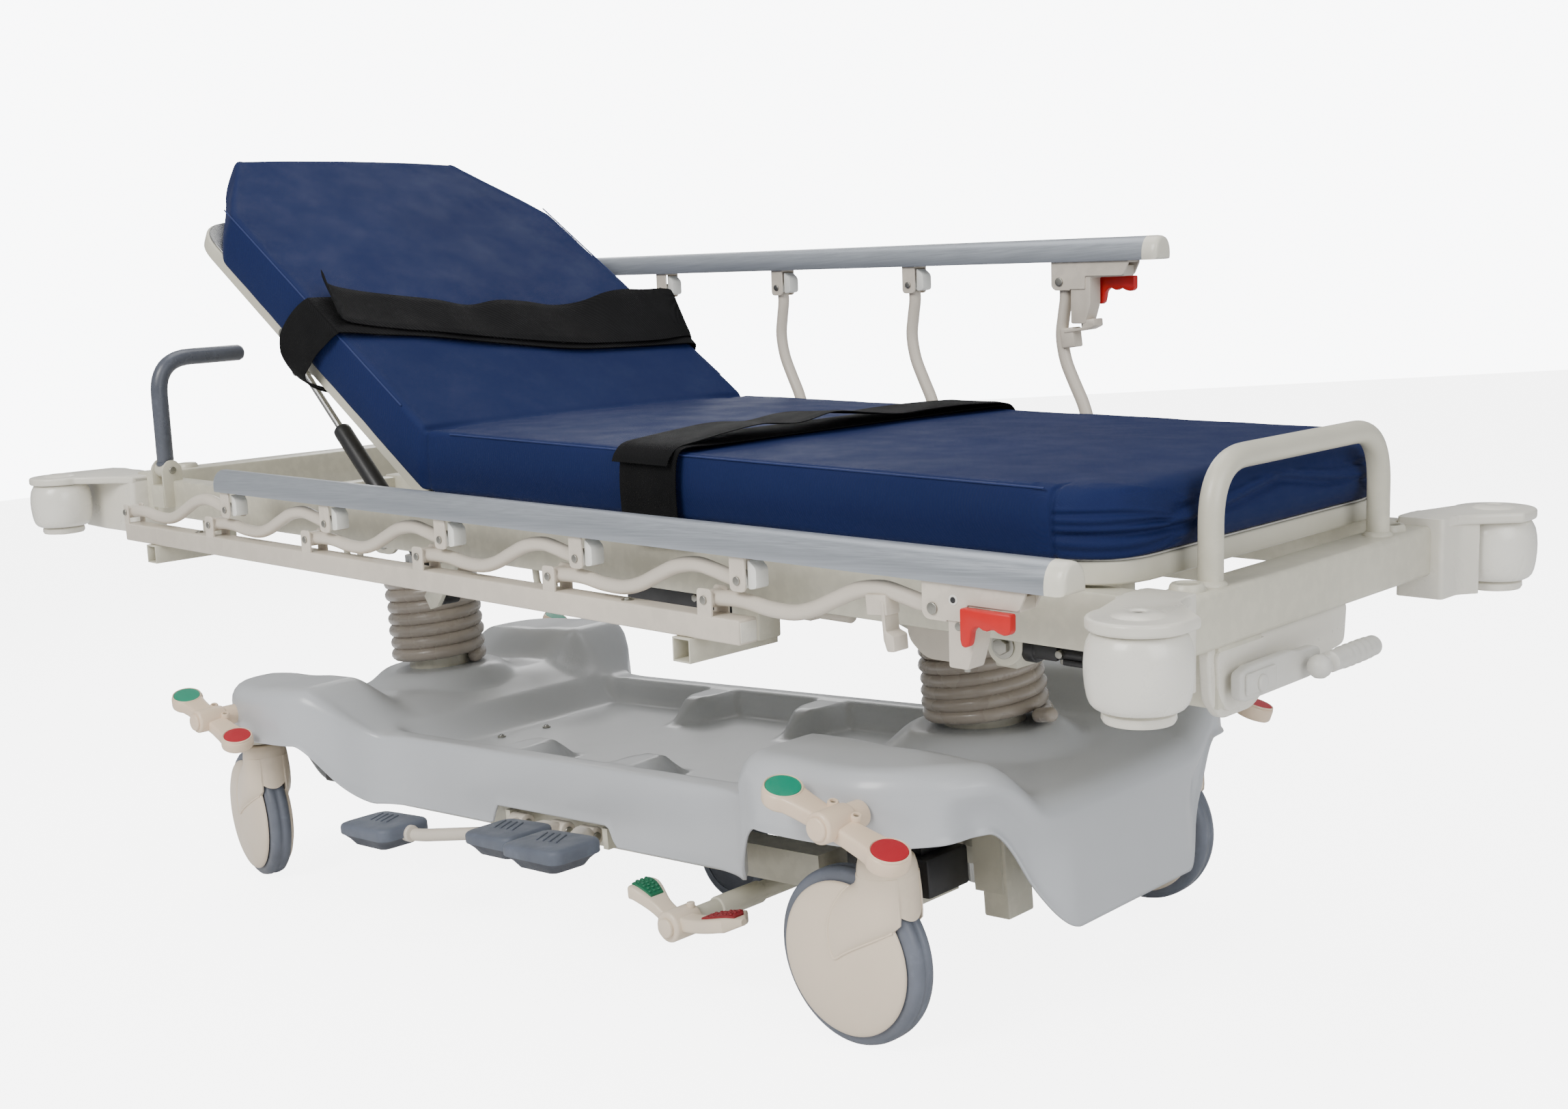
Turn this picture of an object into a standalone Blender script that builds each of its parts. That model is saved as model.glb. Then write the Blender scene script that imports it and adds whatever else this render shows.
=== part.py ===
# Stretcher trolley: wheeled base, two lifting columns, two-section deck,
# folding side rails.  Metres, +Z up, origin on the floor.
# Head end toward -X, foot end toward +X; near side is -Y, far side is +Y.
# Deck parts are modelled level and pitched together by the deck_pose empty.
import math

import bmesh
import bpy
from mathutils import Matrix, Vector

for old in list(bpy.data.objects):
    bpy.data.objects.remove(old, do_unlink=True)

# ---------------------------------------------------------------- driving dimensions
ENDS = SIDES = (-1, 1)              # head, foot / near, far
CENTRING_X = 0.008579               # final shift: origin midway along the length

DECK_TILT = math.radians(3.953)     # head-up pitch of the deck on its two columns
BACK_ANGLE = math.radians(33.4)     # backrest above the deck
BACK_HINGE = (-0.165, 0.0, 0.590)   # deck frame
PIVOT_Z = 0.475                     # column pivots, deck frame
HEAD_PIVOT_X, FOOT_PIVOT_X = -0.594, 0.529

COLUMN_X = 0.56                     # column centres, +/- X
CASTOR_X, CASTOR_Y = 0.641, 0.288   # castor swivel axes, +/-
CASTOR_TRAIL = 0.055
WHEEL_RADIUS = 0.100
# key: (end, side, yaw in degrees)
CASTORS = {"hn": (-1, -1, -12), "hf": (-1, 1, 6), "fn": (1, -1, 0), "ff": (1, 1, 0)}

RAIL_Y = 0.360
RAIL_PIN_X, RAIL_PIN_Z = -0.870, 0.535  # first lower pin, deck frame
POST_PITCH = 0.264
POST_COUNT = 6
POST_LENGTH = 0.317                 # between lower and upper pins
FOLDED_ANGLE = math.radians(4.7)
RAISED_ANGLE = math.radians(96.9)

# base colour, roughness, metallic
MATERIALS = {
    "frame":    ((0.60, 0.58, 0.50), 0.38, 0.0),
    "bar":      ((0.60, 0.55, 0.47), 0.40, 0.0),
    "cover":    ((0.50, 0.53, 0.55), 0.25, 0.0),
    "ivory":    ((0.68, 0.63, 0.54), 0.35, 0.0),
    "tyre":     ((0.14, 0.15, 0.18), 0.60, 0.0),
    "sleeve":   ((0.36, 0.32, 0.27), 0.30, 0.0),
    "steel":    ((0.55, 0.55, 0.55), 0.25, 1.0),
    "bumper":   ((0.75, 0.73, 0.67), 0.25, 0.0),
    "navy":     ((0.02, 0.04, 0.14), 0.60, 0.0),
    "railgrey": ((0.30, 0.32, 0.35), 0.35, 0.0),
    "slate":    ((0.09, 0.10, 0.13), 0.55, 0.0),
    "red":      ((0.70, 0.02, 0.015), 0.35, 0.0),
    "black":    ((0.02, 0.02, 0.02), 0.40, 0.0),
    "grip":     ((0.55, 0.54, 0.50), 0.40, 0.0),
}

scene = bpy.context.scene
TROLLEY = bpy.data.collections.new("stretcher_trolley")
scene.collection.children.link(TROLLEY)
CUTTERS = bpy.data.collections.new("cutters")
scene.collection.children.link(CUTTERS)


# ---------------------------------------------------------------- solids
def mesh_object(shape):
    """Turn a bmesh into an unlinked object and free it."""
    bmesh.ops.recalc_face_normals(shape, faces=shape.faces[:])
    mesh = bpy.data.meshes.new("solid")
    shape.to_mesh(mesh)
    shape.free()
    return bpy.data.objects.new("solid", mesh)


def flatten(obj):
    """Apply a temporary object's modifiers and return a plain mesh object."""
    scene.collection.objects.link(obj)
    depsgraph = bpy.context.evaluated_depsgraph_get()
    mesh = bpy.data.meshes.new_from_object(obj.evaluated_get(depsgraph))
    bpy.data.objects.remove(obj, do_unlink=True)
    return bpy.data.objects.new("solid", mesh)


def bevelled(obj, width):
    bevel = obj.modifiers.new("bevel", 'BEVEL')
    bevel.width, bevel.segments, bevel.limit_method = width, 1, 'ANGLE'
    return flatten(obj)


def welded(obj):
    """Merge coincident vertices and face the surface outward."""
    shape = bmesh.new()
    shape.from_mesh(obj.data)
    bmesh.ops.remove_doubles(shape, verts=shape.verts, dist=1e-5)
    bmesh.ops.recalc_face_normals(shape, faces=shape.faces[:])
    shape.to_mesh(obj.data)
    shape.free()
    return obj


def moved(obj, matrix):
    obj.data.transform(matrix)
    return obj


def box(x0, x1, y0, y1, z0, z1):
    shape = bmesh.new()
    bmesh.ops.create_cube(shape, size=1.0)
    size = (abs(x1 - x0), abs(y1 - y0), abs(z1 - z0))
    centre = ((x0 + x1) / 2, (y0 + y1) / 2, (z0 + z1) / 2)
    bmesh.ops.scale(shape, vec=size, verts=shape.verts)
    bmesh.ops.translate(shape, vec=centre, verts=shape.verts)
    return mesh_object(shape)


def side_box(side, x0, x1, y0, y1, z0, z1):
    """Box given for the far side, mirrored when side is -1."""
    return box(x0, x1, side * y0, side * y1, z0, z1)


# turns a shape built along Z onto the named axis
Z_TO_AXIS = {
    'x': Matrix.Rotation(math.pi / 2, 4, 'Y'),
    'y': Matrix.Rotation(-math.pi / 2, 4, 'X'),
    'z': Matrix.Identity(4),
}


def cylinder(centre, axis, radius, length, segments):
    shape = bmesh.new()
    bmesh.ops.create_cone(shape, cap_ends=True, cap_tris=False, segments=segments,
                          radius1=radius, radius2=radius, depth=length)
    bmesh.ops.transform(shape, matrix=Matrix.Translation(centre) @ Z_TO_AXIS[axis],
                        verts=shape.verts)
    return mesh_object(shape)


def prism(outline, axis, start, end):
    """Extrude an outline of (y,z), (x,z) or (x,y) points along 'x', 'y' or 'z'."""
    index = 'xyz'.index(axis)
    shape = bmesh.new()
    verts = []
    for point in outline:
        corner = list(point)
        corner.insert(index, start)
        verts.append(shape.verts.new(corner))
    extruded = bmesh.ops.extrude_face_region(shape, geom=[shape.faces.new(verts)])
    shift = Vector()
    shift[index] = end - start
    bmesh.ops.translate(shape, vec=shift, verts=[
        item for item in extruded['geom'] if isinstance(item, bmesh.types.BMVert)])
    return mesh_object(shape)


def rounded(points, radius, steps):
    """Round the inner corners of an open polyline with quadratic curves."""
    path = [Vector(points[0])]
    for before, corner, after in zip(points, points[1:], points[2:]):
        corner = Vector(corner)
        back, ahead = Vector(before) - corner, Vector(after) - corner
        reach = min(radius, back.length * 0.49, ahead.length * 0.49)
        start = corner + back.normalized() * reach
        end = corner + ahead.normalized() * reach
        for i in range(steps + 1):
            t = i / steps
            path.append(start * (1 - t) ** 2 + corner * 2 * t * (1 - t) + end * t ** 2)
    path.append(Vector(points[-1]))
    return path


def panel_outline(head_x, foot_x, half_width, head_radius, foot_radius, steps=4):
    """Plan of a panel, with its own corner radius at each end."""
    outline = []
    for end, side, first_angle in ((-1, -1, 180), (1, -1, 270), (1, 1, 0), (-1, 1, 90)):
        corner_x, radius = (head_x, head_radius) if end < 0 else (foot_x, foot_radius)
        corner_y = side * half_width
        if radius <= 0:
            outline.append((corner_x, corner_y))
            continue
        for i in range(steps + 1):
            angle = math.radians(first_angle + 90 * i / steps)
            outline.append((corner_x - end * radius + radius * math.cos(angle),
                            corner_y - side * radius + radius * math.sin(angle)))
    return outline


def tube(points, radius, resolution=2):
    """Round tube along a polyline, with filled ends."""
    curve = bpy.data.curves.new("path", 'CURVE')
    curve.dimensions = '3D'
    spline = curve.splines.new('POLY')
    spline.points.add(len(points) - 1)
    for target, point in zip(spline.points, points):
        target.co = (*point, 1)
    curve.bevel_depth, curve.bevel_resolution = radius, resolution
    curve.use_fill_caps = True
    return welded(flatten(bpy.data.objects.new("path", curve)))


def revolve(profile, steps):
    """Revolve a closed (radius, z) profile about Z."""
    count = len(profile)
    mesh = bpy.data.meshes.new("profile")
    mesh.from_pydata([(radius, 0, z) for radius, z in profile],
                     [(i, (i + 1) % count) for i in range(count)], [])
    obj = bpy.data.objects.new("profile", mesh)
    screw = obj.modifiers.new("screw", 'SCREW')
    screw.axis, screw.steps, screw.render_steps = 'Z', steps, steps
    screw.use_merge_vertices, screw.merge_threshold = True, 1e-5
    return welded(flatten(obj))


def fuse(solids, cutters=()):
    """Union closed solids, subtract the cutters, then tidy the faces."""
    base = solids[0]
    tools = [(solid, 'UNION') for solid in solids[1:]]
    tools += [(cutter, 'DIFFERENCE') for cutter in cutters]
    for tool, operation in tools:
        CUTTERS.objects.link(tool)
        boolean = base.modifiers.new("bool", 'BOOLEAN')
        boolean.operation, boolean.solver, boolean.object = operation, 'EXACT', tool
    result = flatten(base)
    for tool, _ in tools:
        bpy.data.objects.remove(tool, do_unlink=True)
    shape = bmesh.new()
    shape.from_mesh(result.data)
    bmesh.ops.remove_doubles(shape, verts=shape.verts, dist=2e-6)
    bmesh.ops.dissolve_limit(shape, angle_limit=math.radians(0.4),
                             verts=shape.verts, edges=shape.edges)
    bmesh.ops.triangulate(shape, faces=[f for f in shape.faces if len(f.verts) > 4])
    shape.to_mesh(result.data)
    shape.free()
    return result


# ---------------------------------------------------------------- naming and placing
def empty(name, location=(0, 0, 0), rotation=(0, 0, 0), parent=None):
    obj = bpy.data.objects.new(name, None)
    obj.location, obj.rotation_euler, obj.parent = location, rotation, parent
    TROLLEY.objects.link(obj)
    return obj


def make_material(key, name):
    colour, roughness, metallic = MATERIALS[key]
    material = bpy.data.materials.new(name)
    material.use_nodes = True
    shader = material.node_tree.nodes["Principled BSDF"]
    shader.inputs["Base Color"].default_value = (*colour, 1)
    shader.inputs["Roughness"].default_value = roughness
    shader.inputs["Metallic"].default_value = metallic
    return material


def part(name, obj, material, origin=(0, 0, 0), parent=None, smooth=False):
    """Finish a solid as a named piece, with its origin at the given point."""
    obj.name = obj.data.name = name
    obj.data.transform(Matrix.Translation(-Vector(origin)))
    obj.location, obj.parent = origin, parent
    obj.data.materials.clear()
    obj.data.materials.append(make_material(material, name + "_mat"))
    for face in obj.data.polygons:
        face.use_smooth = smooth
    TROLLEY.objects.link(obj)


DECK = empty("deck_pose", rotation=(0, DECK_TILT, 0))

# ---------------------------------------------------------------- base frame
# x0, x1, y0, y1, z0, z1; the far rail sits 0.1 mm higher than the near one
BASE_BEAMS = [
    (-0.46, 0.46, -0.205, -0.165, 0.128, 0.170),    # near side rail
    (-0.46, 0.46, 0.165, 0.205, 0.1281, 0.1701),    # far side rail
    (-0.45, -0.40, -0.19, 0.19, 0.132, 0.166),      # cross members
    (0.40, 0.45, -0.19, 0.19, 0.132, 0.166),
    (-0.70, 0.70, -0.06, 0.06, 0.1375, 0.168),      # spine
]
BASE_BRACKETS = [
    (0.285, 0.345, 0.062, 0.072, 0.075, 0.150),     # fifth-wheel arm and steering shaft
    (0.285, 0.345, 0.02, 0.072, 0.132, 0.150),
    (-0.105, -0.095, -0.232, -0.19, 0.136, 0.164),  # tabs on the near rail
    (0.100, 0.110, -0.232, -0.19, 0.136, 0.164),
]
COLUMN_OUTER, COLUMN_INNER, COLUMN_BOTTOM = 0.048, 0.0405, 0.140
COLUMN_TOPS = {-1: 0.400, 1: 0.375}

parts = [box(*row) for row in BASE_BEAMS]
for end in ENDS:
    parts.append(box(end * 0.612, end * 0.676, -0.292, 0.292, 0.236, 0.262))
    for side in SIDES:
        parts.append(side_box(side, end * 0.625, end * 0.664, 0.055, 0.122, 0.131, 0.250))
        parts.append(cylinder((end * CASTOR_X, side * CASTOR_Y, 0.2445), 'z', 0.024, 0.045, 16))
    top = COLUMN_TOPS[end]
    column = revolve([(COLUMN_OUTER, top), (COLUMN_OUTER, COLUMN_BOTTOM),
                      (COLUMN_INNER, COLUMN_BOTTOM), (COLUMN_INNER, top)], 24)
    parts.append(moved(column, Matrix.Translation((end * COLUMN_X, 0, 0))))
parts += [box(*row) for row in BASE_BRACKETS]
# clears the beams out of the column bores
bores = [cylinder((end * COLUMN_X, 0, 0.23), 'z', 0.0404, 0.40, 24) for end in ENDS]
part("base_frame", fuse(parts, bores), "frame")

# ---------------------------------------------------------------- base cover
# x, half width
COVER_STATIONS = [
    (-0.728, 0.225), (-0.716, 0.262), (-0.69, 0.297), (-0.65, 0.316), (-0.60, 0.322),
    (-0.54, 0.322), (-0.48, 0.314), (-0.43, 0.282), (-0.39, 0.244), (-0.34, 0.228),
    (-0.27, 0.225), (-0.17, 0.224), (-0.11, 0.224), (-0.05, 0.224), (0.05, 0.224),
    (0.12, 0.224), (0.17, 0.224), (0.27, 0.225), (0.34, 0.228), (0.39, 0.244),
    (0.43, 0.282), (0.48, 0.314), (0.54, 0.322), (0.60, 0.322), (0.65, 0.316),
    (0.69, 0.297), (0.725, 0.262), (0.745, 0.225),
]
# positions across the cover as fractions of the half width
COVER_FRACTIONS = [-1, -0.93, -0.86, -0.72, -0.5, -0.25, 0, 0.25, 0.5, 0.72, 0.86, 0.93, 1]
BOSS_Z = 0.298                      # flat top around each column


def smoothstep(start, end, x):
    t = max(0.0, min(1.0, (x - start) / (end - start)))
    return t * t * (3 - 2 * t)


def cover_height(x, y):
    """Top surface: sunken tray amidships, a hump at each end, bosses at the columns."""
    x, y = abs(x), abs(y)
    end_blend = smoothstep(0.36, 0.50, x)
    tray = (1 - smoothstep(0.165, 0.205, y)) * (1 - smoothstep(0.37, 0.43, x))
    middle = 0.247 - 0.032 * tray
    hump = 0.272 + 0.045 * smoothstep(0.10, 0.24, y) + 0.012 * smoothstep(0.62, 0.50, x)
    hump -= 0.010 * smoothstep(0.66, 0.745, x)
    boss = 1 - smoothstep(0.085, 0.125, math.hypot(x - COLUMN_X, y))
    return (middle * (1 - end_blend) + hump * end_blend) * (1 - boss) + BOSS_Z * boss


def skirt_height(x, y):
    """Lower edge of the skirt: raised over the castors, lower lobe at each end."""
    if abs(x) > 0.72 and abs(y) < 0.23:
        return 0.110 + 0.128 * smoothstep(0.115, 0.185, abs(y))
    if y < 0 and -0.115 < x < 0.125:    # gap above the near rail tabs
        return 0.172
    return 0.145 + 0.093 * smoothstep(0.40, 0.475, abs(x))


shape = bmesh.new()
grid = [[shape.verts.new((x, half_width * f, cover_height(x, half_width * f)))
         for f in COVER_FRACTIONS] for x, half_width in COVER_STATIONS]
for row, next_row in zip(grid, grid[1:]):
    for j in range(len(row) - 1):
        shape.faces.new((row[j], next_row[j], next_row[j + 1], row[j + 1]))
# rim runs along the near side, foot end, far side and head end
rim = [row[0] for row in grid] + grid[-1][1:]
rim += [row[-1] for row in grid[-2::-1]] + grid[0][-2:0:-1]
shoulder, hem = [], []
for i, vert in enumerate(rim):
    tangent = rim[(i + 1) % len(rim)].co - rim[i - 1].co
    outward = Vector((tangent.y, -tangent.x, 0)).normalized()
    shoulder.append(shape.verts.new(vert.co + outward * 0.010 + Vector((0, 0, -0.014))))
    hem.append(shape.verts.new((vert.co.x + outward.x * 0.013, vert.co.y + outward.y * 0.013,
                                skirt_height(vert.co.x, vert.co.y))))
for i in range(len(rim)):
    j = (i + 1) % len(rim)
    shape.faces.new((rim[i], shoulder[i], shoulder[j], rim[j]))
    shape.faces.new((shoulder[i], hem[i], hem[j], shoulder[j]))
cover = mesh_object(shape)
# the surface is open, so its recalculated normals may point either way
if cover.data.polygons[0].normal.z < 0:
    cover.data.flip_normals()
shell = cover.modifiers.new("shell", 'SOLIDIFY')
shell.thickness, shell.offset = 0.0035, -1
holes = [cylinder((end * COLUMN_X, 0, 0.29), 'z', 0.0495, 0.12, 24) for end in ENDS]
part("base_cover", fuse([flatten(cover)], holes), "cover", smooth=True)

# ---------------------------------------------------------------- column sleeves
SLEEVE_BOTTOM = 0.2990


def build_sleeve(name, x, top, ribs):
    """Ribbed sleeve around a column."""
    profile = []
    rib = (top - SLEEVE_BOTTOM) / ribs
    for i in range(ribs):
        z = top - i * rib
        profile += [(0.067, z), (0.077, z - 0.3 * rib), (0.077, z - 0.7 * rib)]
    profile += [(0.067, SLEEVE_BOTTOM), (0.0565, SLEEVE_BOTTOM), (0.0565, top)]
    part(name, moved(revolve(profile, 16), Matrix.Translation((x, 0, 0))), "sleeve",
         origin=(x, 0, SLEEVE_BOTTOM), smooth=True)


build_sleeve("column_sleeve_head", -COLUMN_X, 0.455, 6)
build_sleeve("column_sleeve_foot", COLUMN_X, 0.385, 4)

# ---------------------------------------------------------------- castors
WHEEL_CENTRE = (-CASTOR_TRAIL, 0, WHEEL_RADIUS)     # from the swivel axis
# x, z
FORK_PLATE = [(-0.035, 0.120), (0.029, 0.135), (0.029, 0.2195), (-0.029, 0.2195),
              (-0.060, 0.17)]
# distance inside the wheel radius, half-width position
TYRE_SHOULDERS = [(0.006, 0.0155), (0.0015, 0.0105), (0, 0),
                  (0.0015, -0.0105), (0.006, -0.0155)]
TYRE_PROFILE = ([(0.0135, 0.0155)] + [(WHEEL_RADIUS - inset, z) for inset, z in TYRE_SHOULDERS]
                + [(0.0135, -0.0155)])


def build_castor(key, end, side, yaw):
    pose = empty("castor_pose_" + key, (end * CASTOR_X, side * CASTOR_Y, 0),
                 (0, 0, math.radians(yaw)))
    parts = [cylinder((0, 0, 0.2125), 'z', 0.030, 0.017, 20)]
    for cheek in SIDES:
        disc_centre = (-CASTOR_TRAIL, cheek * 0.0245, WHEEL_RADIUS)
        parts.append(cylinder(disc_centre, 'y', 0.086, 0.009, 16))
        parts.append(prism(FORK_PLATE, 'y', cheek * 0.0203, cheek * 0.0287))
    parts.append(cylinder(WHEEL_CENTRE, 'y', 0.012, 0.045, 14))
    part("castor_fork_" + key, fuse(parts), "ivory", origin=(0, 0, 0.22), parent=pose)
    tyre = moved(revolve(TYRE_PROFILE, 20), Matrix.Translation(WHEEL_CENTRE) @ Z_TO_AXIS['y'])
    part("castor_wheel_" + key, tyre, "tyre", origin=WHEEL_CENTRE, parent=pose, smooth=True)


for key, (end, side, yaw) in CASTORS.items():
    build_castor(key, end, side, yaw)

# ---------------------------------------------------------------- brake pedals
BRAKE_X, BRAKE_Y, BRAKE_Z = 0.6445, 0.367, 0.275
BRAKE_TILT = math.radians(19.6)


def build_brake_pedal(key, end, side):
    """Two-armed rocker with a round pad on each arm."""
    centre = (end * BRAKE_X, side * BRAKE_Y, BRAKE_Z)
    parts = [cylinder((0, 0, 0), 'y', 0.0175, 0.050, 12)]
    for arm in ENDS:
        outline = [(0, -0.008), (arm * 0.075, -0.012), (arm * 0.075, 0.006), (0, 0.010)]
        parts.append(prism(outline[::arm], 'y', -0.0165, 0.0165))
        parts.append(cylinder((arm * 0.076, 0, -0.004), 'z', 0.0245, 0.024, 14))
    pose = Matrix.Translation(centre) @ Matrix.Rotation(BRAKE_TILT, 4, 'Y')
    part("brake_pedal_" + key, moved(fuse(parts), pose), "ivory", origin=centre)


for key, (end, side, _) in CASTORS.items():
    build_brake_pedal(key, end, side)

# ---------------------------------------------------------------- pump pedals
PUMP_Y, PUMP_Z = -0.2300, 0.150     # axis of the pedal hubs


def pedal_pad(x, y, z, half_length):
    x0, x1 = x - half_length, x + half_length
    outline = [(x0, z - 0.004), (x0 + 0.022, z - 0.022), (x1 - 0.016, z - 0.022),
               (x1, z - 0.004), (x1, z + 0.008), (x1 - 0.010, z + 0.016),
               (x0 + 0.012, z + 0.016), (x0, z + 0.008)]
    return bevelled(prism(outline, 'y', y - 0.040, y + 0.040), 0.004)


def bent_arm(x, y, z, half_length, hub_x):
    """Arm leaving the foot-end edge of the pad and turning in to the hub."""
    pad_end = x + half_length
    path = [(pad_end - 0.022, y, z), (pad_end + 0.014, y + 0.012, z - 0.004),
            (hub_x + 0.012, y + 0.052, PUMP_Z + 0.002), (hub_x + 0.004, PUMP_Y, PUMP_Z)]
    return tube(rounded(path, 0.02, 3), 0.0085)


def straight_arm(x, y, z, half_length, hub_x):
    return tube([(x, y + 0.03, z), (hub_x, PUMP_Y, PUMP_Z)], 0.0095)


# name, arm, then pad centre x, y, z, pad half length and hub x
PUMP_PEDALS = [
    ("pump_pedal_lift", bent_arm, -0.235, -0.345, 0.150, 0.058, -0.075),
    ("pump_pedal_lower_head", straight_arm, 0.020, -0.322, 0.166, 0.050, 0.012),
    ("pump_pedal_lower_foot", straight_arm, 0.140, -0.347, 0.172, 0.056, 0.070),
]
for name, make_arm, x, y, z, half_length, hub_x in PUMP_PEDALS:
    hub = (hub_x, PUMP_Y, PUMP_Z)
    parts = [pedal_pad(x, y, z, half_length), make_arm(x, y, z, half_length, hub_x),
             cylinder(hub, 'x', 0.0125, 0.030, 16)]
    part(name, fuse(parts), "slate", origin=hub)

# ---------------------------------------------------------------- steering pedal
STEER_X, STEER_Z = 0.312, 0.092     # steering shaft, lying along Y
STEER_ORIGIN = (STEER_X, 0, STEER_Z)
# x, z
HEADWARD_ARM = [(STEER_X, 0.084), (STEER_X, 0.102), (0.262, 0.126), (0.255, 0.112)]
FOOTWARD_ARM = [(STEER_X, 0.082), (0.375, 0.094), (0.410, 0.102), (0.408, 0.114),
                (STEER_X, 0.102)]
parts = [
    cylinder((STEER_X, -0.190, STEER_Z), 'y', 0.0125, 0.24, 18),
    cylinder((STEER_X, -0.298, STEER_Z), 'y', 0.019, 0.042, 18),
    prism(HEADWARD_ARM, 'y', -0.314, -0.286),
    prism(FOOTWARD_ARM, 'y', -0.313, -0.287),
    cylinder((0.262, -0.300, 0.117), 'z', 0.021, 0.018, 18),
    cylinder((0.402, -0.300, 0.106), 'z', 0.021, 0.016, 18),
]
part("steer_pedal", fuse(parts), "ivory", origin=STEER_ORIGIN)

# ---------------------------------------------------------------- fifth wheel
FIFTH_WHEEL = (0.105, 0.0, 0.0675)
# x, z
FIFTH_ARM_PLATE = [(0.094, 0.060), (0.300, 0.080), (STEER_X, 0.100), (0.100, 0.076)]
# radius, half-width position
FIFTH_PROFILE = [(0.008, 0.015), (0.058, 0.015), (0.0625, 0.009),
                 (0.0625, -0.009), (0.058, -0.015), (0.008, -0.015)]
parts = [cylinder((STEER_X, 0.017, STEER_Z), 'y', 0.0155, 0.085, 18)]
parts += [prism(FIFTH_ARM_PLATE, 'y', start, start + 0.005) for start in (-0.0245, 0.0195)]
parts.append(cylinder(FIFTH_WHEEL, 'y', 0.006, 0.049, 12))
part("fifth_wheel_arm", fuse(parts), "steel", origin=STEER_ORIGIN)
wheel = moved(revolve(FIFTH_PROFILE, 20), Matrix.Translation(FIFTH_WHEEL) @ Z_TO_AXIS['y'])
part("fifth_wheel", wheel, "tyre", origin=FIFTH_WHEEL, smooth=True)

# ---------------------------------------------------------------- pistons and knuckle
PISTON_BOTTOM = 0.105


def pivot_height(pivot_x):
    """World height of a column pivot on the tilted deck."""
    return PIVOT_Z * math.cos(DECK_TILT) - pivot_x * math.sin(DECK_TILT)


def build_piston(name, x, top):
    centre = (x, 0, (PISTON_BOTTOM + top) / 2)
    rod = cylinder(centre, 'z', 0.0385, top - PISTON_BOTTOM, 24)
    part(name, fuse([rod]), "steel", origin=(x, 0, 0.30))


build_piston("head_piston", -COLUMN_X, pivot_height(HEAD_PIVOT_X) - 0.034)
build_piston("foot_piston", COLUMN_X, pivot_height(FOOT_PIVOT_X) - 0.010)

x = HEAD_PIVOT_X * math.cos(DECK_TILT) + PIVOT_Z * math.sin(DECK_TILT)
z = pivot_height(HEAD_PIVOT_X)
parts = [cylinder((x, 0, z), 'y', 0.019, 0.096, 20),
         cylinder((x, 0, z - 0.012), 'z', 0.030, 0.020, 20)]
part("head_knuckle", fuse(parts), "frame", origin=(x, 0, z))

# ---------------------------------------------------------------- deck frame (deck coordinates)
# box tables: x0, x1, y0, y1, z0, z1
DECK_PERIMETER = [
    (-0.950, 0.930, -0.285, -0.250, 0.515, 0.575),
    (-0.950, 0.930, 0.250, 0.285, 0.5151, 0.5751),
    (-0.985, -0.935, -0.292, 0.292, 0.516, 0.585),
    (0.921, 0.971, -0.290, 0.290, 0.514, 0.571),
]
HANDLE_BRACKET = [                  # given for the far side
    (-0.9150, -0.9105, 0.268, 0.302, 0.535, 0.608),
    (-0.8795, -0.8750, 0.268, 0.302, 0.535, 0.608),
    (-0.9140, -0.8760, 0.266, 0.304, 0.532, 0.568),
]
# pivot x, reach toward the head, reach toward the foot
COLUMN_CHEEKS = [(HEAD_PIVOT_X, 0.040, 0.040), (FOOT_PIVOT_X, 0.075, 0.060)]
OUTRIGGER_XS = (-0.785, 0.415)
CROSSBAR_XS = (-0.800, -0.180, 0.280, 0.700)
FOOT_BUMPER_X, HEAD_BUMPER_X, BUMPER_Y = 0.995, -1.086, 0.377
BUMPER_FLANGES = [(0.5685, 0.5805, 0.046), (0.4875, 0.4970, 0.032)]     # z0, z1, radius
BUMPER_ARM_Z = (0.4875, 0.5805)
# radius, z
ROLLER_PROFILE = [(0.0095, 0.5670), (0.041, 0.5670), (0.0465, 0.560), (0.0475, 0.540),
                  (0.0465, 0.512), (0.040, 0.4985), (0.0095, 0.4985)]
CRANK_Y, CRANK_Z = -0.150, 0.475    # crank shaft, lying along X
LOOP_X = 0.948                      # foot loop handle
LOOP_PATH = [(LOOP_X, -0.177, 0.565), (LOOP_X, -0.177, 0.640), (LOOP_X, -0.135, 0.692),
             (LOOP_X, 0.135, 0.692), (LOOP_X, 0.177, 0.640), (LOOP_X, 0.177, 0.565)]
# x, z of the plate holding the backrest gas spring
STRUT_ANCHOR = [(-0.165, 0.530), (-0.195, 0.530), (-0.275, 0.440), (-0.262, 0.422),
                (-0.245, 0.428)]


def bumper_mount(side, x, arm_x0, arm_x1):
    """Corner arm with two flanges and a pin for the bumper roller."""
    y = side * BUMPER_Y
    mount = [side_box(side, arm_x0, arm_x1, 0.262, 0.322, *BUMPER_ARM_Z)]
    if x < 0:
        mount.append(side_box(side, -1.132, -1.05, 0.250, 0.322, *BUMPER_ARM_Z))
    for z0, z1, radius in BUMPER_FLANGES:
        mount.append(cylinder((x, y, (z0 + z1) / 2), 'z', radius, z1 - z0, 24))
        mount.append(box(x - radius * 0.95, x + radius * 0.92, side * 0.300, y, z0, z1))
    mount.append(cylinder((x, y, 0.533), 'z', 0.008, 0.09, 12))
    return mount


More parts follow.
